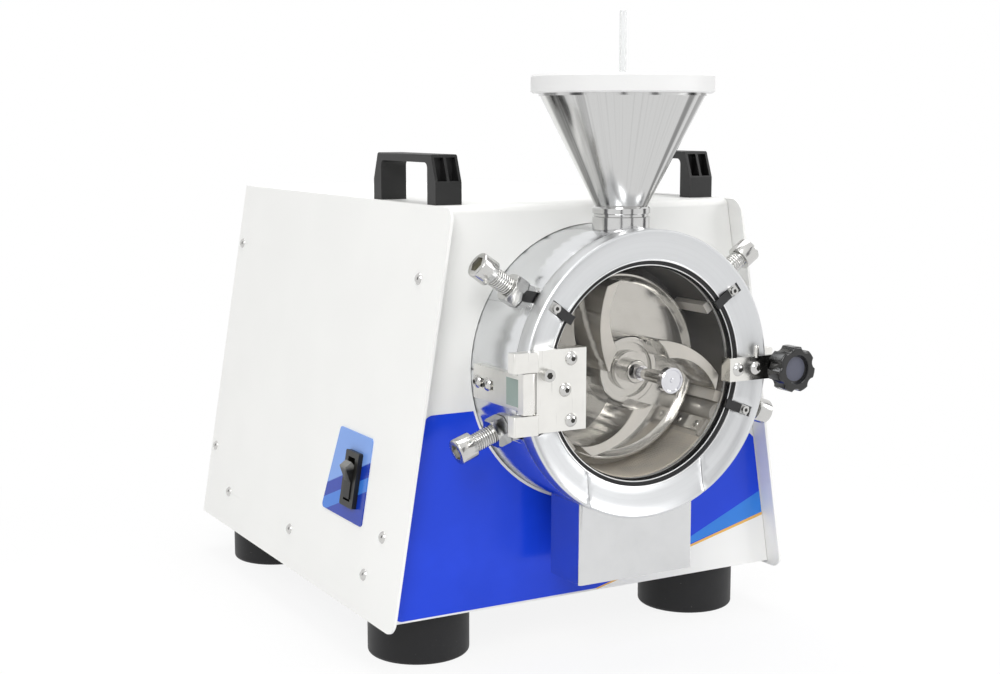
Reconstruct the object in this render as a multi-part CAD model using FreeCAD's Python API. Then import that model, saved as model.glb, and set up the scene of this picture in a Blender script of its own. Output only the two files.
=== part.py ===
import FreeCAD, Part
import math
import os

# Cyclone mill. Millimetres, +Z up, the door faces -Y, +X is to the right seen from the door.
# The origin is on the bench, on the middle plane, halfway between the front and rear tips.

# Cabinet
cab_half_bottom = 166.0
cab_half_top = 119.0
cab_height = 285.0
cab_depth = 390.0
sheet = 2.0
seam = 0.3
face_recess = 14.5
panel_hang = 3.0
cover_bend = 5.0
panel_corner = 10.0
tray_flange = 34.0
foot_radius = 36.5
foot_show = 34.0
foot_x = 117.0
foot_front = 60.0
foot_rear = 51.0

# Handles
handle_length = 99.0
handle_width = 20.0
handle_height = 34.0
handle_leg = 12.5
handle_bar = 5.5
handle_slope_in = 7.0
handle_slope_drop = 19.0
handle_inset = 3.5
handle_front = 32.0
handle_wall = 2.0

# Chamber and door
axis_height = 172.5
house_radius = 98.0
house_reach = 58.5
house_inside = 11.5
cavity_radius = 72.5
cavity_depth = 42.0
back_wall = 12.0
door_thick = 13.5
rim_soft = 0.8
rim_flat = 0.8
face_radius = 93.3
face_set = 1.8
dish_depth = 5.0
door_gap = 0.3
window_radius = 77.0
lip_radius = 73.0
glass_set = 6.5
glass_thick = 3.2
gasket_front = 1.2
gasket_rear = 0.8
gasket_web = 0.9
gasket_show = 2.6
clip_thick = 2.1
clip_angles = (37.0, 146.0, -21.0, -161.0)
clip_screw_radius = 88.0
mid_set = 37.5

# Radial adjusting screws, metric 12
screw_angles = (35.0, 145.5, -18.5, -160.0)
screw_radius = 6.0
screw_head_radius = 9.0
screw_head = 12.0
screw_tip = 136.0
nut_flats = 19.0
nut_thick = 10.0
bar_width = 7.6
bar_inner = 68.5
bar_outer = 96.0
bar_length = 37.0

# Outlet
chute_half = 46.5
chute_depth = 39.0
chute_bottom = 29.5
chute_wall = 2.0
outlet_half = 43.0
screen_thick = 0.8

# Rotor
rotor_radius = 66.0
rotor_disc = 5.0
rotor_lip = 4.0
rotor_lip_width = 3.5
rotor_gap = 5.5
vane_front_set = 11.5
hub_radius = 23.5
hub_front_set = 26.0
vane_count = 3
vane_clear_radius = 25.0

# Drive
spindle_radius = 12.5
bearing_outer = 26.0
bearing_width = 15.0
spindle_pulley_radius = 22.0
motor_pulley_radius = 55.0
pulley_width = 18.0
motor_radius = 62.0
motor_length = 180.0
motor_foot = 71.0
motor_shaft_radius = 9.5

# Hopper
neck_radius = 19.7
neck_bore = 15.5
neck_top = 111.5
neck_seat = 88.0
cone_top_radius = 55.7
cone_height = 76.0
cone_wall = 1.2
lid_radius = 62.0
lid_thick = 12.5
rod_radius = 2.4
rod_reach = 43.0

# Door furniture
leaf_height = 54.0
leaf_thick = 3.0
leaf_right = 53.0
hinge_drop = 3.5
knuckle_height = 13.0
knuckle_left = 110.0
knuckle_right = 91.5
leaf_left_at_notch = 90.5
middle_right = 92.7
pin_x = 96.4
pin_radius = 2.2
pin_set = 4.0
bracket_height = 23.0
bracket_thick = 4.0
latch_drop = 1.5
latch_height = 16.5
latch_left = 64.5
latch_screws = (71.6, 87.1)
barrel_radius = 1.9
barrel_height = 7.4
catch_half = 10.5
catch_wall = 3.8
knob_x = 107.0
knob_radius = 16.0
knob_thick = 13.0
knob_hub = 7.5
knob_lobes = 7
stud_radius = 4.0
stud_engage = 6.0
window_knob_reach = 32.0
window_knob_radius = 8.6
window_knob_rim = 1.4
window_stem_radius = 3.2

# Switch on the left panel, heights along the panel
switch_front = 69.0
switch_width_top = 56.0
switch_width_bottom = 71.0
switch_low = 59.0
switch_high = 122.0
rocker_frame_front = 80.8
rocker_frame_width = 22.0
rocker_frame_low = 69.0
rocker_frame_height = 40.0
lever_width = 10.5
lever_throw = 28.0
lever_radius = 15.5
lever_waist = 7.5
lever_pin_depth = 2.0

# Small fasteners
dome_radius = 4.2
dome_height = 2.6
small_shank = 1.9
hole_play = 0.15
cover_play = 0.12
run_play = 0.05

# Rear fittings
gland_reach = 20.0
gland_radius = 11.0
fuse_radius = 9.0

# Derived places
lean = math.degrees(math.atan2(cab_half_bottom - cab_half_top, cab_height))
panel_length = math.hypot(cab_height, cab_half_bottom - cab_half_top)
front_tip = cab_depth / 2 - face_recess + house_reach + door_thick + window_knob_reach - glass_set
rear_tip = cab_depth / 2 + gland_reach
cab_y = (front_tip - rear_tip) / 2
cab_front = cab_y - cab_depth / 2
cab_rear = cab_y + cab_depth / 2
face_y = cab_front + face_recess
house_front = face_y - house_reach
door_back = house_front - door_gap
door_front = house_front - door_thick
cavity_back = house_front + cavity_depth
wall_back = cavity_back + back_wall
house_back = face_y + house_inside
axis_z = foot_show + axis_height
mid_y = door_front + mid_set
tray_z = foot_show + panel_hang
top_z = foot_show + cab_height
glass_front = door_front + glass_set
glass_back = glass_front + glass_thick
bore_radius = spindle_radius - 4.5
hinge_y = door_front - pin_set


def vec(x, y, z):
    return FreeCAD.Vector(x, y, z)


X_AXIS = vec(1, 0, 0)
Y_AXIS = vec(0, 1, 0)
Z_AXIS = vec(0, 0, 1)


def box(x0, x1, y0, y1, z0, z1):
    return Part.makeBox(x1 - x0, y1 - y0, z1 - z0, vec(x0, y0, z0))


def rod_y(radius, y0, y1, x=0.0, z=None):
    height = axis_z if z is None else z
    return Part.makeCylinder(radius, y1 - y0, vec(x, y0, height), Y_AXIS)


def ring_y(outer, inner, y0, y1, x=0.0, z=None):
    return rod_y(outer, y0, y1, x, z).cut(rod_y(inner, y0 - 1, y1 + 1, x, z))


def rod_z(radius, z0, z1, x, y):
    return Part.makeCylinder(radius, z1 - z0, vec(x, y, z0), Z_AXIS)


def prism(points, sweep):
    corners = [vec(*p) for p in points]
    face = Part.Face(Part.makePolygon(corners + corners[:1]))
    return face.extrude(sweep)


def spin_y(profile):
    """Turn a profile of (radius, y) points round the chamber's axis."""
    corners = [vec(r, y, axis_z) for r, y in profile]
    face = Part.Face(Part.makePolygon(corners + corners[:1]))
    return face.revolve(vec(0, 0, axis_z), Y_AXIS, 360)


def spin_z(profile, x, y):
    """Turn a profile of (radius, z) points round an upright axis."""
    corners = [vec(x + r, y, z) for r, z in profile]
    face = Part.Face(Part.makePolygon(corners + corners[:1]))
    return face.revolve(vec(x, y, 0), Z_AXIS, 360)


def turned(shape, degrees):
    """Turn a copy round the chamber's axis, counter-clockwise seen from the door."""
    copy = shape.copy()
    copy.rotate(vec(0, 0, axis_z), Y_AXIS, -degrees)
    return copy


def mirrored(shape):
    return shape.mirror(vec(0, 0, 0), X_AXIS)


def group(shapes):
    return Part.makeCompound(shapes)


def hexagon_y(flats, y0, y1, x, z):
    corner = flats / math.sqrt(3)
    points = [(x + corner * math.cos(math.radians(60 * k)), y0, z + corner * math.sin(math.radians(60 * k)))
              for k in range(6)]
    return prism(points, vec(0, y1 - y0, 0))


def half_at(z, inset=0.0):
    """Half the cabinet's width at a height, measured inside the side panels when inset."""
    share = (z - foot_show) / cab_height
    return cab_half_bottom + (cab_half_top - cab_half_bottom) * share - inset / math.cos(math.radians(lean))


def wedge(y0, y1, z0, z1, inset):
    """The space between the leaning side panels."""
    low = half_at(z0, inset)
    high = half_at(z1, inset)
    return prism([(-low, y0, z0), (low, y0, z0), (high, y0, z1), (-high, y0, z1)], vec(0, y1 - y0, 0))


def lean_left(shape):
    """Lay a shape, drawn on an upright panel at x = 0 with its outside at -X, on the left side."""
    copy = shape.copy()
    copy.rotate(vec(0, 0, 0), Y_AXIS, lean)
    copy.translate(vec(-cab_half_bottom, 0, foot_show))
    return copy


def dome_head(radius, height):
    """A domed screw head with its seat at x = 0, rising towards -X."""
    ball = (radius * radius + height * height) / (2 * height)
    sphere = Part.makeSphere(ball, vec(ball - height, 0, 0))
    return sphere.common(Part.makeBox(height, 2 * radius, 2 * radius, vec(-height, -radius, -radius)))


def panel_screw_places():
    """Y along the cabinet and height along the panel of each side-panel screw."""
    front = cab_front + 35.0
    rear = cab_rear - 10.0
    low = 28.5
    spread = cab_depth / 2 - 56.0
    column_low = 60.0
    column_high = panel_length - 50.0
    places = [(front, column_low), (front, column_high), (rear, column_low), (rear, column_high)]
    places += [(cab_y + k * spread, low) for k in (-1, 0, 1)]
    return places


def switch_cutout():
    edge = 1.5
    return box(-5, 40, cab_front + rocker_frame_front + edge, cab_front + rocker_frame_front + rocker_frame_width - edge,
               rocker_frame_low + edge, rocker_frame_low + rocker_frame_height - edge)


def side_panel(with_switch):
    plate = box(0, sheet, cab_front, cab_rear, 0, panel_length)
    corners = [e for e in plate.Edges if abs(e.tangentAt(e.FirstParameter).x) > 0.9]
    front_corners = [e for e in corners if e.CenterOfMass.y < cab_y]
    plate = plate.makeFillet(panel_corner, front_corners)
    for y, height in panel_screw_places():
        plate = plate.cut(Part.makeCylinder(small_shank + hole_play, sheet + 2, vec(-1, y, height), X_AXIS))
    if with_switch:
        plate = plate.cut(switch_cutout())
    return lean_left(plate)


def dome_screw():
    head = dome_head(dome_radius, dome_height)
    shank = Part.makeCylinder(small_shank, sheet * 2 + 2.0, vec(-0.5, 0, 0), X_AXIS)
    return head.fuse(shank).removeSplitter()


def cabinet_screws():
    """Dome screws of both side panels and of the rear panel."""
    screws = []
    for y, height in panel_screw_places():
        screw = dome_screw()
        screw.translate(vec(0, y, height))
        left = lean_left(screw)
        screws += [left, mirrored(left)]
    for x, z in rear_screw_places():
        screw = dome_screw()
        screw.rotate(vec(0, 0, 0), Z_AXIS, -90)
        screw.translate(vec(x, cab_rear, z))
        screws.append(screw)
    return group(screws)


def front_top_cover():
    low = foot_show + panel_hang
    outer = Part.makePolygon([vec(0, face_y, low), vec(0, face_y, top_z), vec(0, cab_rear, top_z),
                              vec(0, cab_rear, top_z - sheet), vec(0, face_y + sheet, top_z - sheet),
                              vec(0, face_y + sheet, low), vec(0, face_y, low)])
    sheet_solid = Part.Face(outer).extrude(vec(2 * cab_half_bottom, 0, 0))
    sheet_solid.translate(vec(-cab_half_bottom, 0, 0))
    bends = []
    for edge in sheet_solid.Edges:
        middle = edge.CenterOfMass
        along_x = abs(edge.tangentAt(edge.FirstParameter).x) > 0.9
        if along_x and abs(middle.y - face_y) < 0.01 and abs(middle.z - top_z) < 0.01:
            bends.append(edge)
    folded = sheet_solid.makeFillet(cover_bend, bends)
    inner = []
    for edge in folded.Edges:
        middle = edge.CenterOfMass
        along_x = abs(edge.tangentAt(edge.FirstParameter).x) > 0.9
        if along_x and abs(middle.y - face_y - sheet) < 0.01 and abs(middle.z - top_z + sheet) < 0.01:
            inner.append(edge)
    folded = folded.makeFillet(cover_bend - sheet, inner)
    folded = folded.common(wedge(cab_front, cab_rear, low, top_z, sheet + seam))
    folded = folded.cut(rod_y(house_radius + cover_play, face_y - 1, face_y + sheet + 1))
    for x, y in handle_screw_places():
        folded = folded.cut(rod_z(3.0 + hole_play, top_z - sheet - 1, top_z + 1, x, y))
    return folded


def rear_screw_places():
    low = tray_z + tray_flange / 2
    return [(side * share * half_at(low, sheet), low) for side in (-1, 1) for share in (0.45, 0.85)]


def gland_place():
    return -half_at(tray_z + 60.0) + 55.0, tray_z + 62.0


def fuse_place():
    x, z = gland_place()
    return x + 45.0, z


def rear_panel():
    top = top_z - sheet - seam
    plate = wedge(cab_rear - sheet, cab_rear, tray_z, top, sheet + seam)
    slot_half = 42.0
    slot_height = 5.0
    slot_pitch = 13.0
    slot_rows = 8
    column = 50.0
    start = top - 24.0
    for row in range(slot_rows):
        z = start - row * slot_pitch
        for side in (-1, 1):
            x = side * column
            slot = box(x - slot_half + 6, x + slot_half - 6, cab_rear - sheet - 1, cab_rear + 1, z - slot_height, z)
            for end in (-1, 1):
                slot = slot.fuse(rod_y(slot_height / 2, cab_rear - sheet - 1, cab_rear + 1,
                                       x + end * (slot_half - 6), z - slot_height / 2))
            plate = plate.cut(slot)
    gx, gz = gland_place()
    fx, fz = fuse_place()
    plate = plate.cut(rod_y(gland_radius - 3, cab_rear - sheet - 1, cab_rear + 1, gx, gz))
    plate = plate.cut(rod_y(fuse_radius - 2, cab_rear - sheet - 1, cab_rear + 1, fx, fz))
    for x, z in rear_screw_places():
        plate = plate.cut(rod_y(small_shank + hole_play, cab_rear - sheet - 1, cab_rear + 1, x, z))
    return plate


def foot_places():
    return [(side * foot_x, y) for y in (cab_front + foot_front, cab_rear - foot_rear) for side in (-1, 1)]


def base_tray():
    y0 = face_y + sheet + seam
    y1 = cab_rear - sheet - seam
    outer = wedge(y0, y1, tray_z, tray_z + tray_flange, sheet + seam)
    inner = wedge(y0 + sheet, y1 - sheet, tray_z + sheet, tray_z + tray_flange + 1, 2 * sheet + seam)
    tray = outer.cut(inner)
    bowl = rod_y(house_radius + 3, y0 - 1, y0 + sheet + 1)
    tray = tray.cut(bowl)
    for x, y in foot_places():
        tray = tray.cut(rod_z(4.0 + hole_play, tray_z - 1, tray_z + sheet + 1, x, y))
    for x, y in bracket_screw_places() + motor_bolt_places():
        tray = tray.cut(rod_z(4.0 + hole_play, tray_z - 1, tray_z + sheet + 1, x, y))
    for x, z in rear_screw_places():
        tray = tray.cut(rod_y(small_shank + hole_play, y1 - sheet - 1, y1 + 1, x, z))
    cut_len = 3 * sheet
    for y, height in panel_screw_places():
        hole = lean_left(Part.makeCylinder(small_shank + hole_play, cut_len, vec(-1, y, height), X_AXIS))
        tray = tray.cut(hole).cut(mirrored(hole))
    return tray


def frame_uprights():
    """Four folded angles that carry the side panels and the cover."""
    width = 16.0
    low = (tray_flange + panel_hang + 1.0) / math.cos(math.radians(lean))
    high = panel_length - 14.0
    posts = []
    for y, height in panel_screw_places()[1:4:2]:
        strip = box(sheet + seam, 2 * sheet + seam, y - width / 2, y + width / 2, low, high)
        inner = y + width / 2 if y < cab_y else y - width / 2 + sheet
        wing = box(sheet + seam, sheet + seam + width, inner - sheet, inner, low, high)
        post = strip.fuse(wing).removeSplitter()
        for _, hole_height in panel_screw_places()[:2]:
            post = post.cut(Part.makeCylinder(small_shank + hole_play, 3 * sheet, vec(0, y, hole_height), X_AXIS))
        left = lean_left(post).common(wedge(cab_front, cab_rear, tray_z, top_z - sheet - seam, sheet))
        posts += [left, mirrored(left)]
    return group(posts)


def rubber_feet():
    feet = []
    for x, y in foot_places():
        body = rod_z(foot_radius, 0, tray_z, x, y)
        rims = [e for e in body.Edges if len(e.Vertexes) == 1]
        body = body.makeFillet(2.5, rims)
        body = body.cut(rod_z(11, -1, 7, x, y)).cut(rod_z(7.0 + run_play, 6, 14, x, y))
        feet.append(body.cut(rod_z(4.0 + hole_play, 0, tray_z + 1, x, y)))
    return group(feet)


def foot_screws():
    screws = []
    for x, y in foot_places():
        shank = rod_z(4.0, 12, tray_z + sheet + 9, x, y)
        head = rod_z(7.0, 7, 14, x, y)
        screws.append(head.fuse(shank).removeSplitter().cut(rod_z(3.2, 6, 10, x, y)))
    return group(screws + foot_nuts())


def foot_nuts():
    nuts = []
    for x, y in foot_places():
        low = tray_z + sheet
        corner = 13.0 / math.sqrt(3)
        points = [(x + corner * math.cos(math.radians(60 * k)), y + corner * math.sin(math.radians(60 * k)), low)
                  for k in range(6)]
        nuts.append(prism(points, vec(0, 0, 6.5)).cut(rod_z(4.0 + run_play, low - 1, low + 8, x, y)))
    return nuts


def handle_span():
    y0 = cab_front + handle_front
    return y0, y0 + handle_length


def handle_screw_places():
    y0, y1 = handle_span()
    x = cab_half_top - handle_inset - handle_width / 2
    return [(side * x, y) for side in (-1, 1) for y in (y0 + handle_leg / 2, y1 - handle_leg / 2)]


def handle():
    """Left bridge handle with pocketed, sloping ends."""
    y0, y1 = handle_span()
    x0 = -(cab_half_top - handle_inset)
    x1 = x0 + handle_width
    z0 = top_z
    z1 = top_z + handle_height
    bend = z1 - handle_slope_drop
    outline = [(x0, y0, z0), (x0, y0, bend), (x0, y0 + handle_slope_in, z1), (x0, y1 - handle_slope_in, z1),
               (x0, y1, bend), (x0, y1, z0)]
    body = prism(outline, vec(handle_width, 0, 0))
    gap = box(x0 - 1, x1 + 1, y0 + handle_leg, y1 - handle_leg, z0 - 1, z1 - handle_bar)
    corners = [e for e in gap.Edges if abs(e.tangentAt(e.FirstParameter).x) > 0.9 and e.CenterOfMass.z > z0]
    body = body.cut(gap.makeFillet(4.0, corners))
    rounding = 1.2
    tops = [e for e in body.Edges if e.CenterOfMass.z > z1 - 0.01 and e.Length > 0.5 * handle_length]
    body = body.makeFillet(rounding, tops)
    rib_half = 1.0
    x_mid = (x0 + x1) / 2
    floor = bend + 1.0
    roof = z1 - handle_wall
    for low, high in ((x0 + handle_wall, x_mid - rib_half), (x_mid + rib_half, x1 - handle_wall)):
        for near, far in ((y0 - 1, y0 + handle_leg - handle_wall), (y1 - handle_leg + handle_wall, y1 + 1)):
            body = body.cut(box(low, high, near, far, floor, roof))
    for x, y in handle_screw_places():
        if x < 0:
            body = body.cut(rod_z(3.0 + run_play, z0 - 1, bend - 3, x, y))
    return body


def handle_screws():
    screws = []
    tip = top_z + handle_height - handle_slope_drop - 4
    for x, y in handle_screw_places():
        shank = rod_z(3.0, top_z - sheet - 1, tip, x, y)
        head = rod_z(5.5, top_z - sheet - 4, top_z - sheet, x, y)
        screws.append(head.fuse(shank).removeSplitter())
    return group(screws)


def switch_plate():
    y0 = cab_front + switch_front
    thick = 0.8
    outline = [(-thick, y0, switch_low), (-thick, y0, switch_high), (-thick, y0 + switch_width_top, switch_high),
               (-thick, y0 + switch_width_bottom, switch_low)]
    plate = prism(outline, vec(thick, 0, 0))
    corners = [e for e in plate.Edges if abs(e.tangentAt(e.FirstParameter).x) > 0.9]
    return lean_left(plate.makeFillet(3.0, corners).cut(switch_cutout()))


def lever_pivot():
    """Height along the panel and depth behind it of the switch lever's axis."""
    return rocker_frame_low + 0.5 * rocker_frame_height, lever_pin_depth


def switch_frame():
    y0 = cab_front + rocker_frame_front
    y1 = y0 + rocker_frame_width
    z0 = rocker_frame_low
    z1 = z0 + rocker_frame_height
    thick = 0.8
    proud = 3.5
    rim = box(-thick - proud, -thick, y0, y1, z0, z1)
    corners = [e for e in rim.Edges if abs(e.tangentAt(e.FirstParameter).x) > 0.9]
    rim = rim.makeFillet(1.5, corners)
    edge = 1.5 + hole_play
    body = box(-thick - 0.5, 26, y0 + edge, y1 - edge, z0 + edge, z1 - edge)
    frame = rim.fuse(body).removeSplitter()
    y_mid = (y0 + y1) / 2
    half = lever_width / 2 + 0.4
    pocket_half = lever_radius + 0.2
    z_mid, depth = lever_pivot()
    frame = frame.cut(box(-10, 16, y_mid - half, y_mid + half, z_mid - pocket_half, z_mid + pocket_half))
    pin_hole = Part.makeCylinder(1.5 + run_play, lever_width + 6, vec(depth, y_mid - lever_width / 2 - 3, z_mid), Y_AXIS)
    return lean_left(frame.cut(pin_hole))


def switch_lever():
    """Rocking lever on its own pin, its upper wing thrown out."""
    y_mid = cab_front + rocker_frame_front + rocker_frame_width / 2
    z_mid, depth = lever_pivot()
    y0 = y_mid - lever_width / 2
    wing = [(0.66, 0.75), (0.33, 0.944), (-0.1, 0.3), (-0.1, -0.3), (0.33, -0.944), (0.66, -0.75)]
    outline = [(depth - lever_radius * out, y0, z_mid + lever_radius * up) for out, up in wing]
    outline.append((depth - lever_waist, y0, z_mid))
    rocker = prism(outline, vec(0, lever_width, 0))
    hub = Part.makeCylinder(0.3 * lever_radius, lever_width, vec(depth, y0, z_mid), Y_AXIS)
    rocker = rocker.fuse(hub).removeSplitter()
    rocker.rotate(vec(depth, y0, z_mid), Y_AXIS, -lever_throw / 2)
    pin = Part.makeCylinder(1.5, lever_width + 5, vec(depth, y0 - 2.5, z_mid), Y_AXIS)
    return lean_left(rocker.fuse(pin).removeSplitter())


def bar_slot():
    """Slot through the housing wall for one impact bar, at angle zero."""
    half = bar_width / 2 + hole_play
    return box(cavity_radius - 10, house_radius + 5, house_front - 1, house_front + bar_length + 1,
               axis_z - half, axis_z + half)


def chamber_housing():
    body = rod_y(house_radius, house_front, house_back)
    body = body.cut(rod_y(cavity_radius, house_front - 1, cavity_back))
    body = body.cut(rod_y(house_radius - back_wall, wall_back, house_back + 1))
    body = body.cut(rod_y(spindle_radius + 8.0, cavity_back - 1, wall_back + 1))
    outlet = box(-outlet_half, outlet_half, house_front + chute_wall + 2, house_front + chute_depth - chute_wall,
                 axis_z - house_radius - 1, axis_z - cavity_radius / 2)
    body = body.cut(outlet)
    body = body.cut(rod_z(neck_bore, axis_z + cavity_radius - 12, axis_z + house_radius + 5, 0, mid_y))
    body = body.cut(rod_z(neck_radius + run_play, axis_z + neck_seat, axis_z + house_radius + 5, 0, mid_y))
    groove = ring_y(seal_outer() + hole_play, seal_inner() - hole_play, house_front - 1, house_front + seal_depth)
    body = body.cut(groove)
    thread_hole = Part.makeCylinder(screw_radius + 0.3, 20, vec(bar_outer - 5, mid_y, axis_z), X_AXIS)
    for angle in screw_angles:
        body = body.cut(turned(bar_slot(), angle)).cut(turned(thread_hole, angle))
    for x, z in housing_screw_places():
        body = body.cut(rod_y(4.0 + run_play, house_back - 20, house_back + 1, x, z))
    for y in bracket_screw_rows():
        body = body.cut(Part.makeCylinder(2.5 + run_play, 20, vec(-house_radius - 5, y, hinge_z()), X_AXIS))
    return body


seal_depth = 1.6


def seal_inner():
    return cavity_radius + 2.0


def seal_outer():
    return cavity_radius + 5.0


def chamber_seal():
    return ring_y(seal_outer(), seal_inner(), house_front - door_gap * 0.6, house_front + seal_depth)


def impact_bars():
    bars = []
    notch = Part.makeCylinder(screw_radius + 0.6, 20, vec(bar_outer - 4.0, mid_y, axis_z), X_AXIS)
    bar = box(bar_inner, bar_outer, house_front + seal_depth + seam, house_front + bar_length,
              axis_z - bar_width / 2, axis_z + bar_width / 2)
    bar = bar.cut(notch)
    for angle in screw_angles:
        bars.append(turned(bar, angle))
    return group(bars)


def adjusting_screws():
    head_in = screw_tip - screw_head
    shank = Part.makeCylinder(screw_radius, head_in - bar_outer + 4.0, vec(bar_outer - 4.0, mid_y, axis_z), X_AXIS)
    head = Part.makeCylinder(screw_head_radius, screw_head, vec(head_in, mid_y, axis_z), X_AXIS)
    rims = [e for e in head.Edges if len(e.Vertexes) == 1 and e.CenterOfMass.x > screw_tip - 1]
    head = head.makeFillet(1.2, rims)
    corner = 10.0 / math.sqrt(3)
    socket = prism([(screw_tip - 6, mid_y + corner * math.cos(math.radians(60 * k)),
                     axis_z + corner * math.sin(math.radians(60 * k))) for k in range(6)], vec(8, 0, 0))
    screw = head.cut(socket).fuse(shank).removeSplitter()
    return group([turned(screw, angle) for angle in screw_angles])


def lock_nuts():
    corner = nut_flats / math.sqrt(3)
    start = house_radius + 0.05
    points = [(start, mid_y + corner * math.cos(math.radians(60 * k)), axis_z + corner * math.sin(math.radians(60 * k)))
              for k in range(6)]
    nut = prism(points, vec(nut_thick, 0, 0))
    bevel = Part.makeCone(corner + 3.0, corner - 1.0, nut_thick, vec(start, mid_y, axis_z), X_AXIS)
    nut = nut.common(bevel).cut(Part.makeCylinder(screw_radius + run_play, 20, vec(start - 1, mid_y, axis_z), X_AXIS))
    return group([turned(nut, angle) for angle in screw_angles])


def outlet_screen():
    outer = cavity_radius - 0.1
    y0 = house_front + 1.0
    y1 = cavity_back - 1.0
    sheet_ring = ring_y(outer, outer - screen_thick, y0, y1)
    reach = 2 * cavity_radius
    half_span = math.radians(46.0)
    keep = prism([(0, y0 - 1, axis_z), (-reach * math.sin(half_span), y0 - 1, axis_z - reach * math.cos(half_span)),
                  (reach * math.sin(half_span), y0 - 1, axis_z - reach * math.cos(half_span))], vec(0, y1 - y0 + 2, 0))
    return sheet_ring.common(keep)


def screen_clips():
    clip = box(cavity_radius - 3.6, cavity_radius - 1.0, house_front + 0.3, house_front + 3.5, axis_z - 6.5, axis_z + 6.5)
    return group([turned(clip, -90 + 51.5), turned(clip, -90 - 51.5)])


def clamp_strip_angle():
    return -37.0


def screen_clamp():
    """Half-round bar with its flat foot, lying along the chamber wall."""
    centre = cavity_radius + 3.5
    y0 = house_front + 0.6
    y1 = cavity_back - 0.3
    bar = rod_y(7.2, y0, y1, centre, axis_z)
    bar = turned(bar, -27.3).common(rod_y(cavity_radius - 0.1, y0, y1))
    foot_half = 5.1
    strip = box(cavity_radius - 1.9, cavity_radius - 0.4, y0 + 3, y1, axis_z - foot_half, axis_z + foot_half)
    strip = turned(strip, clamp_strip_angle())
    for y in clamp_screw_rows():
        hole = Part.makeCylinder(1.6 + hole_play, 20, vec(cavity_radius - 10, y, axis_z), X_AXIS)
        strip = strip.cut(turned(hole, clamp_strip_angle()))
    return group([bar, strip])


def clamp_screw_rows():
    return [house_front + 11.0, house_front + 31.0]


def clamp_screws():
    screws = []
    for y in clamp_screw_rows():
        head = dome_head(2.8, 1.4)
        head.translate(vec(cavity_radius - 1.9, y, axis_z))
        shank = Part.makeCylinder(1.6, 1.6, vec(cavity_radius - 2.0, y, axis_z), X_AXIS)
        screws.append(turned(head.fuse(shank).removeSplitter(), clamp_strip_angle()))
    return group(screws)


def discharge_chute():
    low = foot_show + chute_bottom
    high = axis_z - house_radius / 2
    y0 = house_front
    y1 = house_front + chute_depth
    outer = box(-chute_half, chute_half, y0, y1, low, high)
    uprights = [e for e in outer.Edges if abs(e.tangentAt(e.FirstParameter).z) > 0.9]
    outer = outer.makeFillet(chute_wall, uprights)
    inner = box(-chute_half + chute_wall, chute_half - chute_wall, y0 + chute_wall, y1 - chute_wall, low - 1, high + 1)
    chute = outer.cut(inner).cut(rod_y(house_radius + 0.15, y0 - 1, house_back))
    return max(chute.Solids, key=lambda s: s.Volume)


def face_at(radius):
    """Y of the door ring's dished face at a radius between the window and the rim."""
    share = (face_radius - radius) / (face_radius - window_radius)
    return door_front + face_set + (dish_depth - face_set) * share


def gasket_face():
    return glass_front - gasket_front


def lip_face():
    return glass_back + gasket_rear + 0.1


def door_profile():
    rear = door_back
    soft = 1.2
    return [(lip_radius, rear), (house_radius, rear), (house_radius, door_front + rim_soft),
            (house_radius - rim_soft, door_front), (house_radius - rim_soft - rim_flat, door_front),
            (face_radius, face_at(face_radius)), (window_radius + soft, face_at(window_radius + soft)),
            (window_radius, face_at(window_radius) + 0.4 * soft), (window_radius, lip_face()), (lip_radius, lip_face())]


def clip_slot():
    half = 3.6
    return box(lip_radius - 1, clip_screw_radius + 5.0, door_front - 1, glass_front, axis_z - half, axis_z + half)


def segment_cut(grow):
    half = chute_half + grow
    return box(-half, half, door_front - 5, house_front + 1, axis_z - house_radius - 5, axis_z - lip_radius / 2)


def door_ring():
    ring = spin_y(door_profile())
    for angle in clip_angles:
        ring = ring.cut(turned(clip_slot(), angle))
        hole = rod_y(1.6, door_front, door_front + 11, clip_screw_radius, axis_z)
        ring = ring.cut(turned(hole, angle))
    ring = ring.cut(segment_cut(0.25))
    for x, z in ring_screw_places():
        ring = ring.cut(rod_y(2.5 + run_play, door_front - 1, door_front + 9, x, z))
    return max(ring.Solids, key=lambda s: s.Volume)


def ring_lower_segment():
    piece = spin_y(door_profile()).common(segment_cut(0.0))
    return max(piece.Solids, key=lambda s: s.Volume)


def window_glass():
    glass = rod_y(window_radius - 0.1 - gasket_web, glass_front, glass_back)
    glass = glass.cut(rod_y(window_stem_radius - 0.6 + run_play, glass_front - 1, glass_back + 1))
    for x, z in window_screw_places():
        glass = glass.cut(rod_y(2.5 + hole_play, glass_front - 1, glass_back + 1, x, z))
    return glass


def window_gasket():
    """Channel of rubber round the edge of the window disc."""
    outer = window_radius - 0.1
    rear = glass_back + gasket_rear
    channel = ring_y(outer, outer - gasket_show, gasket_face(), rear)
    channel = channel.fuse(ring_y(outer, lip_radius + 0.2, glass_back, rear)).removeSplitter()
    return channel.cut(rod_y(outer - gasket_web, glass_front, glass_back))


def clip_front():
    return gasket_face() - 0.05 - clip_thick


def window_clips():
    half = 3.2
    clip = box(lip_radius - 1.5, clip_screw_radius + 4.2, clip_front(), gasket_face() - 0.05, axis_z - half, axis_z + half)
    clip = clip.fuse(box(window_radius + 0.5, clip_screw_radius + 4.2, gasket_face() - 0.2, glass_front,
                         axis_z - half, axis_z + half)).removeSplitter()
    clip = clip.cut(rod_y(1.5 + hole_play, door_front - 1, glass_front + 1, clip_screw_radius, axis_z))
    return group([turned(clip, angle) for angle in clip_angles])


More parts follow.
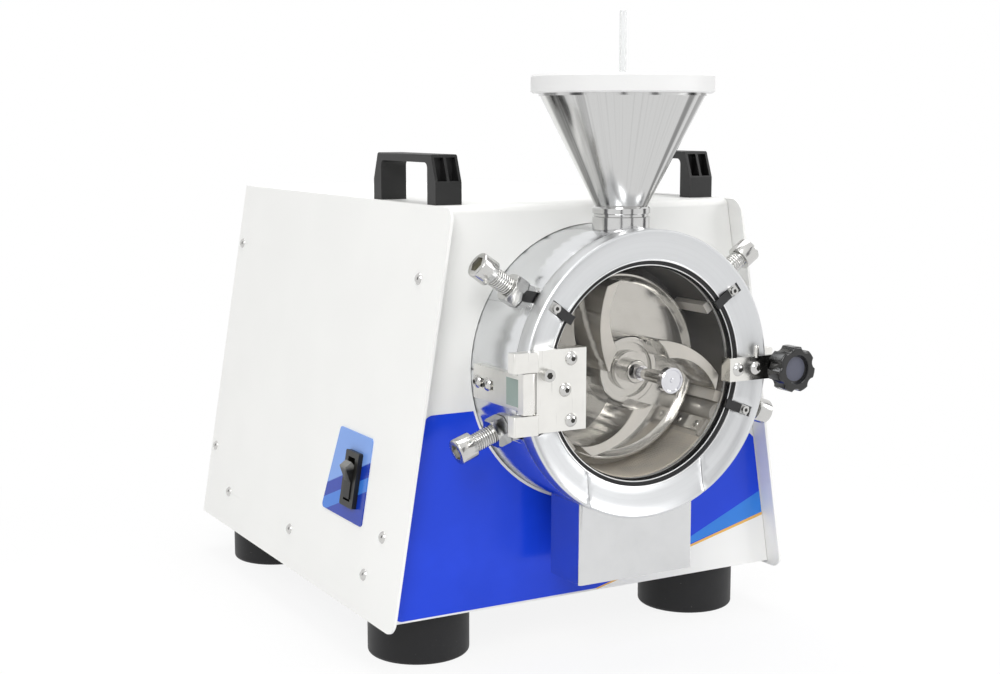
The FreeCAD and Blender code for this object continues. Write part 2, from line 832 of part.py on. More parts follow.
def window_clip_screws():
    front = clip_front()
    head = rod_y(2.75, front - 2.5, front, clip_screw_radius, axis_z)
    shank = rod_y(1.5, front - 0.1, door_front + 10, clip_screw_radius, axis_z)
    screw = head.fuse(shank).removeSplitter()
    screw = screw.cut(hexagon_y(2.5, front - 3, front - 1.5, clip_screw_radius, axis_z))
    return group([turned(screw, angle) for angle in clip_angles])


def window_knob():
    """Turned knob with a rimmed face, on a stem through the window's middle."""
    tip = glass_front - window_knob_reach
    knob = window_knob_radius
    stem = window_stem_radius
    neck = stem - 0.6
    profile = [(0, tip + 0.3), (1.2, tip + 0.3), (1.6, tip + 1.0), (knob - window_knob_rim - 0.5, tip + 1.0),
               (knob - window_knob_rim, tip), (knob - 0.6, tip), (knob, tip + 0.6), (knob, tip + 5.0),
               (knob - 1.2, tip + 6.0), (stem + 0.4, tip + 6.4), (stem + 0.4, tip + 12.0), (stem - 0.3, tip + 12.6),
               (stem - 0.3, tip + 14.4), (stem, tip + 15.0), (stem, glass_front - 3.4), (stem + 0.6, glass_front - 3.0),
               (stem + 0.6, glass_front), (neck, glass_front), (neck, glass_back), (stem + 2.0, glass_back),
               (stem + 2.0, glass_back + 3.0), (0, glass_back + 3.0)]
    return spin_y(profile)


def hinge_z():
    return axis_z - hinge_drop


def leaf_screw_places():
    """The three button screws through the window disc, then the cap screw in the ring."""
    z = hinge_z()
    return [(-64.5, z + 20.3), (-69.0, z), (-64.5, z - 20.3), (-83.5, z + 11.0)]


def window_screw_places():
    return leaf_screw_places()[:3] + strip_screw_places()[:1]


def ring_screw_places():
    return leaf_screw_places()[3:] + strip_screw_places()[1:]


def packing(x0, x1, z0, z1):
    """Pad behind a fitting that fills the dished ring and the recess down to the window."""
    pad = box(x0, x1, door_front - 0.5, glass_front, z0, z1)
    inner = pad.common(rod_y(window_radius - 3.4, door_front - 2, glass_back))
    near = window_radius + 1.6
    far = face_radius - 0.6
    dish = spin_y([(near, door_front - 0.5), (far, door_front - 0.5), (far, face_at(far) - 0.1),
                   (near, face_at(near) - 0.1)])
    inner = inner.fuse(pad.common(dish))
    clear = 3.6
    reach = box(lip_radius - 2.2, face_radius + 1.0, door_front, glass_front + 1, axis_z - clear, axis_z + clear)
    for angle in clip_angles:
        inner = inner.cut(turned(reach, angle))
    return inner


def pin_rod(radius, z0, z1):
    return rod_z(radius, z0, z1, -pin_x, hinge_y)


def knuckle_notch():
    """Half the height left free between the leaf's two knuckles."""
    return leaf_height / 2 - knuckle_height


def hinge_leaf():
    """Door leaf: plate with one square knuckle above and one below the middle knuckle."""
    z = hinge_z()
    half = leaf_height / 2
    leaf = box(-knuckle_right - 0.5, -leaf_right, door_front - leaf_thick, door_front, z - half, z + half)
    for low in (z - half, z + half - knuckle_height):
        block = box(-knuckle_left, -knuckle_right, hinge_y - pin_set, hinge_y + pin_set, low, low + knuckle_height)
        uprights = [e for e in block.Edges if abs(e.tangentAt(e.FirstParameter).z) > 0.9 and e.CenterOfMass.y < hinge_y]
        leaf = leaf.fuse(block.makeFillet(1.0, uprights))
    leaf = leaf.fuse(packing(-knuckle_right, -leaf_right, z - half, z + half)).removeSplitter()
    notch = knuckle_notch()
    leaf = leaf.cut(box(-knuckle_right - 2, -leaf_left_at_notch, door_front - 10, door_front + 1, z - notch, z + notch))
    leaf = leaf.cut(pin_rod(pin_radius + 0.01, z - half - 1, z + half + 1))
    for x, zz in leaf_screw_places():
        leaf = leaf.cut(rod_y(2.5 + hole_play, door_front - leaf_thick - 1, glass_front + 1, x, zz))
    return leaf


def hinge_pin():
    z = hinge_z()
    half = leaf_height / 2
    return pin_rod(pin_radius, z - half, z + half)


def button_screw(x, z, length):
    """Button head screw with a hexagon socket, seated on a door fitting."""
    radius = 4.7
    rise = 2.9
    seat = door_front - leaf_thick
    head = dome_head(radius, rise)
    head.rotate(vec(0, 0, 0), Z_AXIS, 90)
    head.translate(vec(x, seat, z))
    shank = rod_y(2.5, seat - 0.2, seat + length, x, z)
    socket = hexagon_y(3.0, seat - rise - 1, seat - rise + 2.0, x, z)
    return head.fuse(shank).removeSplitter().cut(socket)


def door_fitting_screws():
    """Screws of the hinge leaf and of the latch strip."""
    screws = [button_screw(x, z, leaf_thick + glass_back - door_front) for x, z in window_screw_places()]
    x, z = leaf_screw_places()[3]
    seat = door_front - leaf_thick
    head = rod_y(4.2, seat - 5.0, seat, x, z)
    shank = rod_y(2.5, seat - 0.2, seat + leaf_thick + 8.5, x, z)
    screws.append(head.fuse(shank).removeSplitter().cut(hexagon_y(4.0, seat - 6, seat - 2.2, x, z)))
    x, z = strip_screw_places()[1]
    screws.append(button_screw(x, z, leaf_thick + 8.5))
    return group(screws)


def bracket_screw_rows():
    return [house_front + 26.6, house_front + 40.4]


def hinge_bracket():
    """Arm along the housing's side that carries the middle knuckle."""
    z = hinge_z()
    half = bracket_height / 2
    clear = 0.5
    middle_half = knuckle_notch() - clear
    arm_out = -house_radius - 1.0 - bracket_thick
    arm_in = -house_radius - 1.0
    rear = house_front + 46.0
    nose = pin_x - middle_right
    front = hinge_y - nose
    back = hinge_y + nose
    arm = box(arm_out, arm_in, front, rear, z - half, z + half)
    saddle = box(arm_in - 0.5, arm_in + 3.0, house_front + 2.0, rear, z - half, z + half)
    arm = arm.fuse(saddle).cut(rod_y(house_radius + 0.15, house_front - 20, house_back))
    block = box(arm_out, -pin_x, front, back, z - middle_half, z + middle_half)
    block = block.fuse(pin_rod(nose, z - middle_half, z + middle_half))
    arm = arm.fuse(block).removeSplitter()
    arm = arm.cut(pin_rod(pin_radius + run_play, z - middle_half - 1, z + middle_half + 1))
    slot = box(arm_out - 1, arm_in - 0.6, house_front + 19.0, house_front + 44.0, z - 3.0, z + 3.0)
    pocket = box(arm_out - 1, arm_out + 1.6, door_front + 1.0, house_front - 3.0, z - 8.0, z + 8.0)
    arm = arm.cut(slot).cut(pocket)
    for y in bracket_screw_rows():
        arm = arm.cut(Part.makeCylinder(2.5 + hole_play, 20, vec(arm_out - 5, y, z), X_AXIS))
    return arm


def bracket_screws():
    arm_out = -house_radius - 1.0 - bracket_thick
    screws = []
    for y in bracket_screw_rows():
        head = dome_head(4.6, 2.8)
        head.translate(vec(arm_out, y, hinge_z()))
        shank = Part.makeCylinder(2.5, 16, vec(arm_out - 0.2, y, hinge_z()), X_AXIS)
        socket = prism([(arm_out - 4, y + 1.7 * math.cos(math.radians(60 * k)), hinge_z() + 1.7 * math.sin(math.radians(60 * k)))
                        for k in range(6)], vec(3.0, 0, 0))
        screws.append(head.fuse(shank).removeSplitter().cut(socket))
    return group(screws)


def latch_z():
    return axis_z - latch_drop


def strip_screw_places():
    return [(x, latch_z()) for x in latch_screws]


def latch_strip():
    """Flat strip that carries the knob, with a small barrel standing on its upper edge."""
    z = latch_z()
    half = latch_height / 2
    y0 = door_front - leaf_thick
    strip = box(latch_left, knob_x, y0, door_front, z - half, z + half)
    strip = strip.fuse(rod_y(half, y0, door_front, knob_x, z))
    barrel = rod_z(barrel_radius, z + half - 1, z + half + barrel_height, latch_screws[1] + 0.7,
                   door_front - barrel_radius - 0.1)
    strip = strip.fuse(barrel).fuse(packing(latch_left, knob_x, z - half, z + half)).removeSplitter()
    for x, zz in strip_screw_places():
        strip = strip.cut(rod_y(2.5 + hole_play, y0 - 1, glass_front + 1, x, zz))
    return strip.cut(rod_y(stud_radius + run_play, y0 - 1, door_front + 1, knob_x, z))


def latch_catch():
    """Block welded to the housing's right side that takes the knob's stud."""
    z = latch_z()
    half = catch_half
    depth = 14.0
    outer = knob_x + stud_radius + catch_wall
    block = box(house_radius - 8, outer, house_front, house_front + depth, z - half, z + half)
    corners = [e for e in block.Edges if abs(e.tangentAt(e.FirstParameter).y) > 0.9 and e.CenterOfMass.x > house_radius]
    block = block.makeFillet(1.5, corners)
    block = block.cut(rod_y(house_radius + 0.1, house_front - 1, house_back))
    return block.cut(rod_y(stud_radius + 0.9, house_front - 1, house_front + stud_engage + 4, knob_x, z))


def knob_stud():
    front = door_front - leaf_thick - knob_hub - 3.0
    return rod_y(stud_radius, front, house_front + stud_engage, knob_x, latch_z())


def star_knob():
    z = latch_z()
    back = door_front - leaf_thick - 0.3
    crown_back = back - knob_hub
    crown_front = crown_back - knob_thick
    scallop = 5.0
    scallop_at = knob_radius + 2.9
    crown = rod_y(knob_radius, crown_front, crown_back, knob_x, z)
    for k in range(knob_lobes):
        angle = math.radians(90 + 360.0 * (k + 0.5) / knob_lobes)
        crown = crown.cut(rod_y(scallop, crown_front - 1, crown_back + 1, knob_x + scallop_at * math.cos(angle),
                                z + scallop_at * math.sin(angle)))
    rims = [e for e in crown.Edges if abs(e.CenterOfMass.y - crown_front) < 0.01]
    crown = crown.makeFillet(1.4, rims)
    hub = Part.makeCone(knob_radius * 0.72, knob_radius * 0.5, knob_hub, vec(knob_x, crown_back, z), Y_AXIS)
    knob = crown.fuse(hub).removeSplitter()
    recess = Part.makeCone(knob_radius * 0.64, knob_radius * 0.56, 3.0, vec(knob_x, crown_front - 0.01, z), Y_AXIS)
    knob = knob.cut(recess)
    return knob.cut(rod_y(stud_radius + run_play, crown_back - 3.0, back + 1, knob_x, z))


def polar(radius, degrees, y):
    return vec(radius * math.cos(math.radians(degrees)), y, axis_z + radius * math.sin(math.radians(degrees)))


def vane():
    """One curved vane, thick at the root, leaning back from the way it spins."""
    y = door_front + vane_front_set
    root = vane_clear_radius + 1.0
    inside = hub_radius - 4.0
    tip = rotor_radius + 2.0
    outer_side = Part.Arc(polar(root, 174, y), polar(47.0, 134, y), polar(tip, 112.5, y)).toShape()
    inner_side = Part.Arc(polar(tip, 102.5, y), polar(42.0, 126.5, y), polar(root, 138, y)).toShape()
    edges = [outer_side, Part.LineSegment(polar(tip, 112.5, y), polar(tip, 102.5, y)).toShape(), inner_side,
             Part.LineSegment(polar(root, 138, y), polar(inside, 146, y)).toShape(),
             Part.LineSegment(polar(inside, 146, y), polar(inside, 166, y)).toShape(),
             Part.LineSegment(polar(inside, 166, y), polar(root, 174, y)).toShape()]
    face = Part.Face(Part.Wire(edges))
    return face.extrude(vec(0, disc_front() - y + 1.0, 0))


def disc_back():
    return cavity_back - rotor_gap


def disc_front():
    return disc_back() - rotor_disc


def rotor():
    """Back disc with a raised, rounded lip, hub and curved vanes, in one piece."""
    back = disc_back()
    front = disc_front()
    hub_front = door_front + hub_front_set
    lip_in = rotor_radius - rotor_lip_width
    rounding = rotor_lip_width * 0.3
    profile = [(bore_radius + run_play, hub_front), (hub_radius - 1.0, hub_front), (hub_radius, hub_front + 1.0),
               (hub_radius, front), (lip_in - 3.0, front), (lip_in, front - rotor_lip * 0.6),
               (lip_in + rounding, front - rotor_lip), (rotor_radius - rounding, front - rotor_lip),
               (rotor_radius, front - rotor_lip + rounding), (rotor_radius, back - 1.0), (rotor_radius - 1.0, back),
               (hub_radius, back), (hub_radius, back + 3.0), (bore_radius + run_play, back + 3.0)]
    body = spin_y(profile)
    vanes = [turned(vane(), -360.0 * k / vane_count) for k in range(vane_count)]
    solid = body
    trim = rod_y(rotor_radius, door_front, back)
    clearing = rod_y(vane_clear_radius, door_front, hub_front)
    for piece in vanes:
        solid = solid.fuse(piece.common(trim).cut(clearing))
    recess = ring_y(hub_radius - 4.5, 13.5, hub_front - 1, hub_front + 2.5)
    return solid.cut(recess).removeSplitter()


def rotor_screw():
    """Cap screw and washer that hold the rotor on the spindle's nose."""
    hub_front = door_front + hub_front_set
    washer = rod_y(13.0, hub_front - 2.5, hub_front)
    head = rod_y(8.0, hub_front - 10.5, hub_front - 2.5)
    rims = [e for e in head.Edges if len(e.Vertexes) == 1 and e.CenterOfMass.y < hub_front - 10]
    head = head.makeFillet(1.0, rims)
    shank = rod_y(4.0, hub_front - 3, hub_front + 22)
    screw = washer.fuse(head).fuse(shank).removeSplitter()
    return screw.cut(hexagon_y(6.0, hub_front - 12, hub_front - 6.5, 0, axis_z))


def pulley_front():
    return wall_back + 90.0


def spindle():
    hub_front = door_front + hub_front_set
    nose = rod_y(bore_radius, hub_front + 0.2, disc_back() + 4)
    body = rod_y(spindle_radius, disc_back() + 3.0, pulley_front() + pulley_width + 2)
    bore = rod_y(4.0 + run_play, hub_front - 1, hub_front + 24)
    return nose.fuse(body).removeSplitter().cut(bore)


def shaft_seal():
    return ring_y(spindle_radius + 7.9, spindle_radius + run_play, cavity_back + 2.0, cavity_back + 9.0)


def bearing_rows():
    return [wall_back + 8.0, pulley_front() - 8.0 - bearing_width]


def spindle_bearings():
    rings = []
    for y in bearing_rows():
        ring = ring_y(bearing_outer, spindle_radius + run_play, y, y + bearing_width)
        mid = (bearing_outer + spindle_radius) / 2
        groove = ring_y(mid + 3.5, mid - 3.5, y - 1, y + 1.2)
        rings.append(ring.cut(groove))
    return group(rings)


def bearing_housing():
    y0 = wall_back
    y1 = bearing_rows()[1] + bearing_width
    outer = bearing_outer + 9.0
    body = rod_y(outer, y0, y1).fuse(rod_y(outer + 18.0, y0, y0 + 8.0))
    body = body.cut(rod_y(spindle_radius + 5.0, y0 - 1, y1 + 1))
    for y in bearing_rows():
        seat = rod_y(bearing_outer + run_play, y, y + bearing_width)
        body = body.cut(seat)
    body = body.cut(rod_y(bearing_outer + run_play, y0 - 1, y0 + 9)).removeSplitter()
    for k in range(4):
        hole = rod_y(3.0 + hole_play, y0 - 1, y0 + 9, outer + 9.5, axis_z)
        body = body.cut(turned(hole, 45 + 90 * k))
    return body


def motor_z():
    return tray_z + sheet + motor_foot


def pulley(radius, z, shaft):
    y0 = pulley_front()
    y1 = y0 + pulley_width
    wheel = rod_y(radius, y0, y1, 0, z)
    flange = 1.5
    wheel = wheel.fuse(rod_y(radius + 2.5, y0, y0 + flange, 0, z)).fuse(rod_y(radius + 2.5, y1 - flange, y1, 0, z))
    return wheel.cut(rod_y(shaft + run_play, y0 - 1, y1 + 1, 0, z)).removeSplitter()


def loop_solid(grow, y0, y1):
    """Solid of the outline of a belt round both pulleys, grown by a distance."""
    small = spindle_pulley_radius + grow
    large = motor_pulley_radius + grow
    spread = axis_z - motor_z()
    tilt = math.asin((large - small) / spread)
    points = []
    for side in (1, -1):
        points.append((side * small * math.cos(tilt), y0, axis_z + small * math.sin(tilt)))
        points.append((side * large * math.cos(tilt), y0, motor_z() + large * math.sin(tilt)))
    corners = [points[0], points[1], points[3], points[2]]
    body = prism(corners, vec(0, y1 - y0, 0))
    body = body.fuse(rod_y(small, y0, y1)).fuse(rod_y(large, y0, y1, 0, motor_z()))
    return body.removeSplitter()


def drive_belt():
    y0 = pulley_front() + 2.2
    y1 = pulley_front() + pulley_width - 2.2
    thick = 3.5
    return loop_solid(0.3 + thick, y0, y1).cut(loop_solid(0.3, y0 - 1, y1 + 1))


def motor_front():
    return pulley_front() + pulley_width + 12.0


def motor_bolt_places():
    front = motor_front() + 45.0
    return [(side * 56.0, y) for side in (-1, 1) for y in (front, front + 90.0)]


def motor_housing():
    """Foot-mounted motor with ribs along its frame, end shields and a rear cover."""
    y0 = motor_front()
    y1 = y0 + motor_length
    z = motor_z()
    body = rod_y(motor_radius - 5, y0, y1 - 30, 0, z)
    ribs = 12
    rib = box(motor_radius - 8, motor_radius, y0 + 12, y1 - 42, z - 1.5, z + 1.5)
    for k in range(ribs):
        copy = rib.copy()
        copy.rotate(vec(0, 0, z), Y_AXIS, -(360.0 * k / ribs + 15))
        body = body.fuse(copy)
    body = body.fuse(rod_y(motor_radius - 1, y0, y0 + 12, 0, z)).fuse(rod_y(motor_radius, y1 - 42, y1, 0, z))
    for side in (-1, 1):
        front = motor_front() + 33.0
        foot_pad = box(min(side * 34, side * 66), max(side * 34, side * 66), front, front + 114, tray_z + sheet, tray_z + sheet + 8)
        web = box(min(side * 34, side * 46), max(side * 34, side * 46), front, front + 114, tray_z + sheet, z - 36)
        body = body.fuse(foot_pad).fuse(web)
    body = body.cut(rod_y(motor_shaft_radius + run_play, y0 - 1, y1 - 20, 0, z))
    for x, y in motor_bolt_places():
        body = body.cut(rod_z(4.0 + hole_play, tray_z, tray_z + sheet + 10, x, y))
    return body.removeSplitter()


def motor_shaft():
    return rod_y(motor_shaft_radius, pulley_front() - 2, motor_front() + motor_length - 24, 0, motor_z())


def bracket_top():
    return axis_z + house_radius * 0.55


def bracket_screw_places():
    return [(side * x, house_back + 36.0) for side in (-1, 1) for x in (35.0, 70.0)]


def housing_screw_places():
    ring = house_radius - back_wall / 2
    return [(ring * math.cos(math.radians(a)), axis_z + ring * math.sin(math.radians(a))) for a in (15, 165, 215, 325)]


def chamber_bracket():
    """Welded angle that stands on the tray and carries the housing from behind."""
    plate_thick = 8.0
    half = house_radius - 3.0
    floor = tray_z + sheet
    plate = box(-half, half, house_back, house_back + plate_thick, floor, bracket_top())
    top_edges = [e for e in plate.Edges if abs(e.tangentAt(e.FirstParameter).y) > 0.9 and e.CenterOfMass.z > axis_z]
    plate = plate.makeFillet(30.0, top_edges)
    base = box(-half, half, house_back, house_back + 55, floor, floor + 6)
    body = plate.fuse(base)
    for side in (-1, 1):
        gusset = prism([(side * 58 - 3, house_back + 4, floor), (side * 58 - 3, house_back + 52, floor),
                        (side * 58 - 3, house_back + 4, floor + 70)], vec(6, 0, 0))
        body = body.fuse(gusset)
    body = body.cut(rod_y(bearing_outer + 32.0, house_back - 1, house_back + plate_thick + 50))
    for x, z in housing_screw_places():
        body = body.cut(rod_y(4.0 + hole_play, house_back - 1, house_back + plate_thick + 1, x, z))
    for x, y in bracket_screw_places():
        body = body.cut(rod_z(4.0 + hole_play, floor - 1, floor + 7, x, y))
    return body.removeSplitter()


def machine_bolts():
    """Bolts of the motor's feet, of the bracket's base and of the housing."""
    bolts = []
    for places, top in ((motor_bolt_places(), tray_z + sheet + 8), (bracket_screw_places(), tray_z + sheet + 6)):
        for x, y in places:
            shank = rod_z(4.0, tray_z - 1, top, x, y)
            head = rod_z(6.5, top, top + 6, x, y)
            bolts.append(head.fuse(shank).removeSplitter())
    for x, z in housing_screw_places():
        shank = rod_y(4.0, house_back - 11, house_back + 8, x, z)
        head = rod_y(6.5, house_back + 8, house_back + 14, x, z)
        bolts.append(head.fuse(shank).removeSplitter())
    return group(bolts)


def hopper_neck():
    low = axis_z + neck_seat
    high = axis_z + neck_top
    groove = 0.9
    profile = [(neck_bore, low), (neck_radius, low), (neck_radius, high - 7.0), (neck_radius - groove, high - 6.5),
               (neck_radius - groove, high - 5.0), (neck_radius, high - 4.5), (neck_radius, high - 1.0),
               (neck_radius - 1.0, high), (neck_bore, high)]
    return spin_z(profile, 0, mid_y)


def cone_base():
    return axis_z + neck_top


def hopper_cone():
    low = cone_base()
    high = low + cone_height
    bottom = neck_bore + 2.2
    rim = 1.8
    profile = [(bottom - cone_wall, low), (bottom, low), (cone_top_radius, high - rim), (cone_top_radius + 1.0, high - rim),
               (cone_top_radius + 1.0, high), (cone_top_radius - cone_wall, high)]
    return spin_z(profile, 0, mid_y)


def lid_base():
    return cone_base() + cone_height


def hopper_lid():
    low = lid_base()
    high = low + lid_thick
    plug = cone_top_radius - cone_wall - 3.0
    bore = rod_radius + run_play
    profile = [(bore, low - 3.0), (plug - 1.5, low - 3.0), (plug, low), (lid_radius - 1.5, low), (lid_radius, low + 1.0),
               (lid_radius, high - 1.5), (lid_radius - 1.5, high), (bore, high)]
    return spin_z(profile, 0, mid_y)


def lid_rod():
    low = lid_base() - 2.5
    high = lid_base() + lid_thick + rod_reach
    profile = [(0, low), (rod_radius, low), (rod_radius, high - 0.8), (rod_radius - 0.8, high), (0, high)]
    return spin_z(profile, 0, mid_y)


def cable_gland():
    x, z = gland_place()
    nut = hexagon_y(1.8 * gland_radius, cab_rear, cab_rear + 6, x, z)
    dome = Part.makeCone(gland_radius * 0.85, gland_radius * 0.55, gland_reach - 6, vec(x, cab_rear + 6, z), Y_AXIS)
    thread = rod_y(gland_radius - 3.2, cab_rear - sheet - 8, cab_rear + 1, x, z)
    back_nut = hexagon_y(1.8 * gland_radius, cab_rear - sheet - 5, cab_rear - sheet, x, z)
    body = nut.fuse(dome).fuse(thread).fuse(back_nut).removeSplitter()
    return body.cut(rod_y(3.8, cab_rear - sheet - 10, cab_rear + gland_reach + 1, x, z))


def fuse_holder():
    x, z = fuse_place()
    cap = rod_y(fuse_radius - 1.5, cab_rear + 2, cab_rear + 11, x, z)
    flange = rod_y(fuse_radius, cab_rear, cab_rear + 2.5, x, z)
    body = rod_y(fuse_radius - 2.2, cab_rear - sheet - 25, cab_rear + 1, x, z)
    holder = cap.fuse(flange).fuse(body).removeSplitter()
    return holder.cut(box(x - 6, x + 6, cab_rear + 10, cab_rear + 12, z - 0.8, z + 0.8))


def all_parts():
    left_panel = side_panel(True)
    left_handle = handle()
    parts = {
        "left_side_panel": left_panel,
        "right_side_panel": mirrored(side_panel(False)),
        "front_top_cover": front_top_cover(),
        "rear_panel": rear_panel(),
        "base_tray": base_tray(),
        "frame_uprights": frame_uprights(),
        "cabinet_screws": cabinet_screws(),
        "rubber_feet": rubber_feet(),
        "foot_screws": foot_screws(),
        "left_handle": left_handle,
        "right_handle": mirrored(left_handle),
        "handle_screws": handle_screws(),
        "switch_plate": switch_plate(),
        "switch_frame": switch_frame(),
        "switch_lever": switch_lever(),
        "chamber_housing": chamber_housing(),
        "chamber_seal": chamber_seal(),
        "impact_bars": impact_bars(),
        "adjusting_screws": adjusting_screws(),
        "lock_nuts": lock_nuts(),
        "outlet_screen": outlet_screen(),
        "screen_clips": screen_clips(),
        "screen_clamp": screen_clamp(),
        "screen_clamp_screws": clamp_screws(),
        "discharge_chute": discharge_chute(),
        "door_ring": door_ring(),
        "ring_lower_segment": ring_lower_segment(),
        "window_glass": window_glass(),
        "window_gasket": window_gasket(),
        "window_clips": window_clips(),
        "window_clip_screws": window_clip_screws(),
        "window_knob": window_knob(),
        "hinge_leaf": hinge_leaf(),
        "door_fitting_screws": door_fitting_screws(),
        "hinge_bracket": hinge_bracket(),
        "hinge_bracket_screws": bracket_screws(),
        "hinge_pin": hinge_pin(),
        "latch_strip": latch_strip(),
        "latch_catch": latch_catch(),
        "star_knob": star_knob(),
        "knob_stud": knob_stud(),
        "rotor": rotor(),
        "rotor_screw": rotor_screw(),
        "spindle": spindle(),
        "shaft_seal": shaft_seal(),
        "spindle_bearings": spindle_bearings(),
        "bearing_housing": bearing_housing(),
        "spindle_pulley": pulley(spindle_pulley_radius, axis_z, spindle_radius),
        "motor_pulley": pulley(motor_pulley_radius, motor_z(), motor_shaft_radius),
        "drive_belt": drive_belt(),
        "motor_housing": motor_housing(),
        "motor_shaft": motor_shaft(),
        "chamber_bracket": chamber_bracket(),
        "machine_bolts": machine_bolts(),
        "hopper_neck": hopper_neck(),
        "hopper_cone": hopper_cone(),
        "hopper_lid": hopper_lid(),
        "lid_rod": lid_rod(),
        "cable_gland": cable_gland(),
        "fuse_holder": fuse_holder(),
    }
    return parts


def main():
    os.makedirs("parts", exist_ok=True)
    parts = all_parts()
    for name, shape in parts.items():
        shape.exportStep("parts/" + name + ".step")


main()
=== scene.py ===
"""Gives the cyclone mill its finishes, its fine pieces and its studio."""

import math

import bmesh
import bpy
from bpy.props import FloatProperty, FloatVectorProperty, PointerProperty
from mathutils import Matrix, Vector


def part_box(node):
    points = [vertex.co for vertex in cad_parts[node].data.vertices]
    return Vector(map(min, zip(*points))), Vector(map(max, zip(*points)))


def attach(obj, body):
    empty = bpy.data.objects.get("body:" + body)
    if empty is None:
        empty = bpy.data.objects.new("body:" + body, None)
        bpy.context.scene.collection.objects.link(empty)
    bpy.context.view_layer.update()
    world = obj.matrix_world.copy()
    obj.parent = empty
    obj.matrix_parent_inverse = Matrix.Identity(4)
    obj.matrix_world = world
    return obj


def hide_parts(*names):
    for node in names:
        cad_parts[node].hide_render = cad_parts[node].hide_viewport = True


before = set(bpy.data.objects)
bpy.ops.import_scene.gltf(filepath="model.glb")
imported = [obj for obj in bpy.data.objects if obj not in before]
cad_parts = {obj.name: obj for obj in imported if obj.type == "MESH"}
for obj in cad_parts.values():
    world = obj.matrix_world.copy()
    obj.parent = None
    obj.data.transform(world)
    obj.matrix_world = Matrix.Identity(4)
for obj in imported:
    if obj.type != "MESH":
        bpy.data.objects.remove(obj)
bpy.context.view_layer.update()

bl_info = {
    "name": "Cyclone mill",
    "version": (1, 0, 0),
    "blender": (4, 5, 0),
    "location": "3D View > Sidebar > Mill",
    "description": "Finishes, fine pieces and studio of a bench cyclone mill",
    "category": "Object",
}


def low(node):
    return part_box(node)[0]


def high(node):
    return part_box(node)[1]


def middle(node):
    return (low(node) + high(node)) / 2


AXIS_Z = middle("chamber_housing").z
HOUSE_FRONT = low("chamber_housing").y
HOUSE_RADIUS = high("chamber_housing").x
FACE_Y = low("front_top_cover").y
CAVITY_RADIUS = 0.0725
ALONG_X = Vector((1, 0, 0))
ALONG_Y = Vector((0, 1, 0))


class Value:
    """A number in a finish. Sums on it add the Math nodes."""

    def __init__(self, finish, socket):
        self.finish = finish
        self.socket = socket

    def math(self, operation, *values, clamp=False):
        settings = {"operation": operation, "use_clamp": clamp}
        return self.finish.node("ShaderNodeMath", settings, values)

    def __add__(self, other):
        return self.math("ADD", self, other)

    def __sub__(self, other):
        return self.math("SUBTRACT", self, other)

    def __rsub__(self, other):
        return self.math("SUBTRACT", other, self)

    def __mul__(self, other):
        return self.math("MULTIPLY", self, other)

    def __truediv__(self, other):
        return self.math("DIVIDE", self, other)

    def __gt__(self, other):
        return self.math("GREATER_THAN", self, other)

    def clamped(self):
        return self.math("ADD", self, 0.0, clamp=True)

    def root(self):
        return self.math("SQRT", self)

    def ramp(self, start, end):
        """0 at start, 1 at end, and smooth between."""
        settings = {"interpolation_type": "SMOOTHSTEP"}
        values = {"Value": self, "From Min": start, "From Max": end}
        return self.finish.node("ShaderNodeMapRange", settings, values)

    def cosine(self):
        return self.math("COSINE", self)


class Finish:
    """A material under construction."""

    def __init__(self, name, colour, roughness, metallic=0.0, **constants):
        self.material = bpy.data.materials.new(name)
        self.material.use_nodes = True
        self.tree = self.material.node_tree
        self.shader = self.tree.nodes["Principled BSDF"]
        self.set(Base_Color=(*colour, 1.0), Roughness=roughness, Metallic=metallic, **constants)
        self.material.diffuse_color = (*colour, 1.0)
        self.place = self.node("ShaderNodeTexCoord", {}, {}, "Object")
        self.parts = None

    def set(self, **sockets):
        for name, value in sockets.items():
            self.feed(self.shader.inputs[name.replace("_", " ")], value)

    def feed(self, socket, value):
        if isinstance(value, Value):
            self.tree.links.new(value.socket, socket)
        else:
            socket.default_value = value

    def node(self, kind, settings, values, output=0):
        made = self.tree.nodes.new(kind)
        for name, setting in settings.items():
            setattr(made, name, setting)
        pairs = values.items() if isinstance(values, dict) else enumerate(values)
        for key, value in pairs:
            self.feed(made.inputs[key], value)
        return Value(self, made.outputs[output])

    def axes(self):
        """X, Y and Z of the point, in metres."""
        if self.parts is None:
            split = self.node("ShaderNodeSeparateXYZ", {}, {0: self.place})
            outputs = split.socket.node.outputs
            self.parts = [Value(self, outputs[k]) for k in range(3)]
        return self.parts

    def point(self, x, y, z):
        return self.node("ShaderNodeCombineXYZ", {}, (x, y, z))

    def stretched(self, x, y, z):
        return self.node("ShaderNodeMapping", {}, {"Vector": self.place, "Scale": (x, y, z)})

    def noise(self, scale, detail=3.0, roughness=0.55, place=None):
        values = {"Vector": place or self.place, "Scale": scale, "Detail": detail, "Roughness": roughness}
        return self.node("ShaderNodeTexNoise", {}, values, "Fac")

    def mix(self, share, first, second):
        """Colour between two, as tuples or values."""
        wide = [(*c, 1.0) if isinstance(c, tuple) else c for c in (first, second)]
        values = {0: share, 6: wide[0], 7: wide[1]}
        return self.node("ShaderNodeMix", {"data_type": "RGBA"}, values, 2)

    def coloured(self, share, first, second):
        self.set(Base_Color=self.mix(share, first, second))

    def bump(self, height, strength, distance):
        values = {"Height": height, "Strength": strength, "Distance": distance}
        self.set(Normal=self.node("ShaderNodeBump", {}, values))
        return self

    def blend(self, share, first, second):
        """Show a mix of two shaders."""
        mixed = self.tree.nodes.new("ShaderNodeMixShader")
        self.feed(mixed.inputs[0], share)
        self.tree.links.new(first.outputs[0], mixed.inputs[1])
        self.tree.links.new(second.outputs[0], mixed.inputs[2])
        self.tree.links.new(mixed.outputs[0], self.tree.nodes["Material Output"].inputs[0])

    def radius(self, centre_z):
        """Distance from the chamber's axis."""
        x, _, z = self.axes()
        up = z - centre_z
        return (x * x + up * up).root()


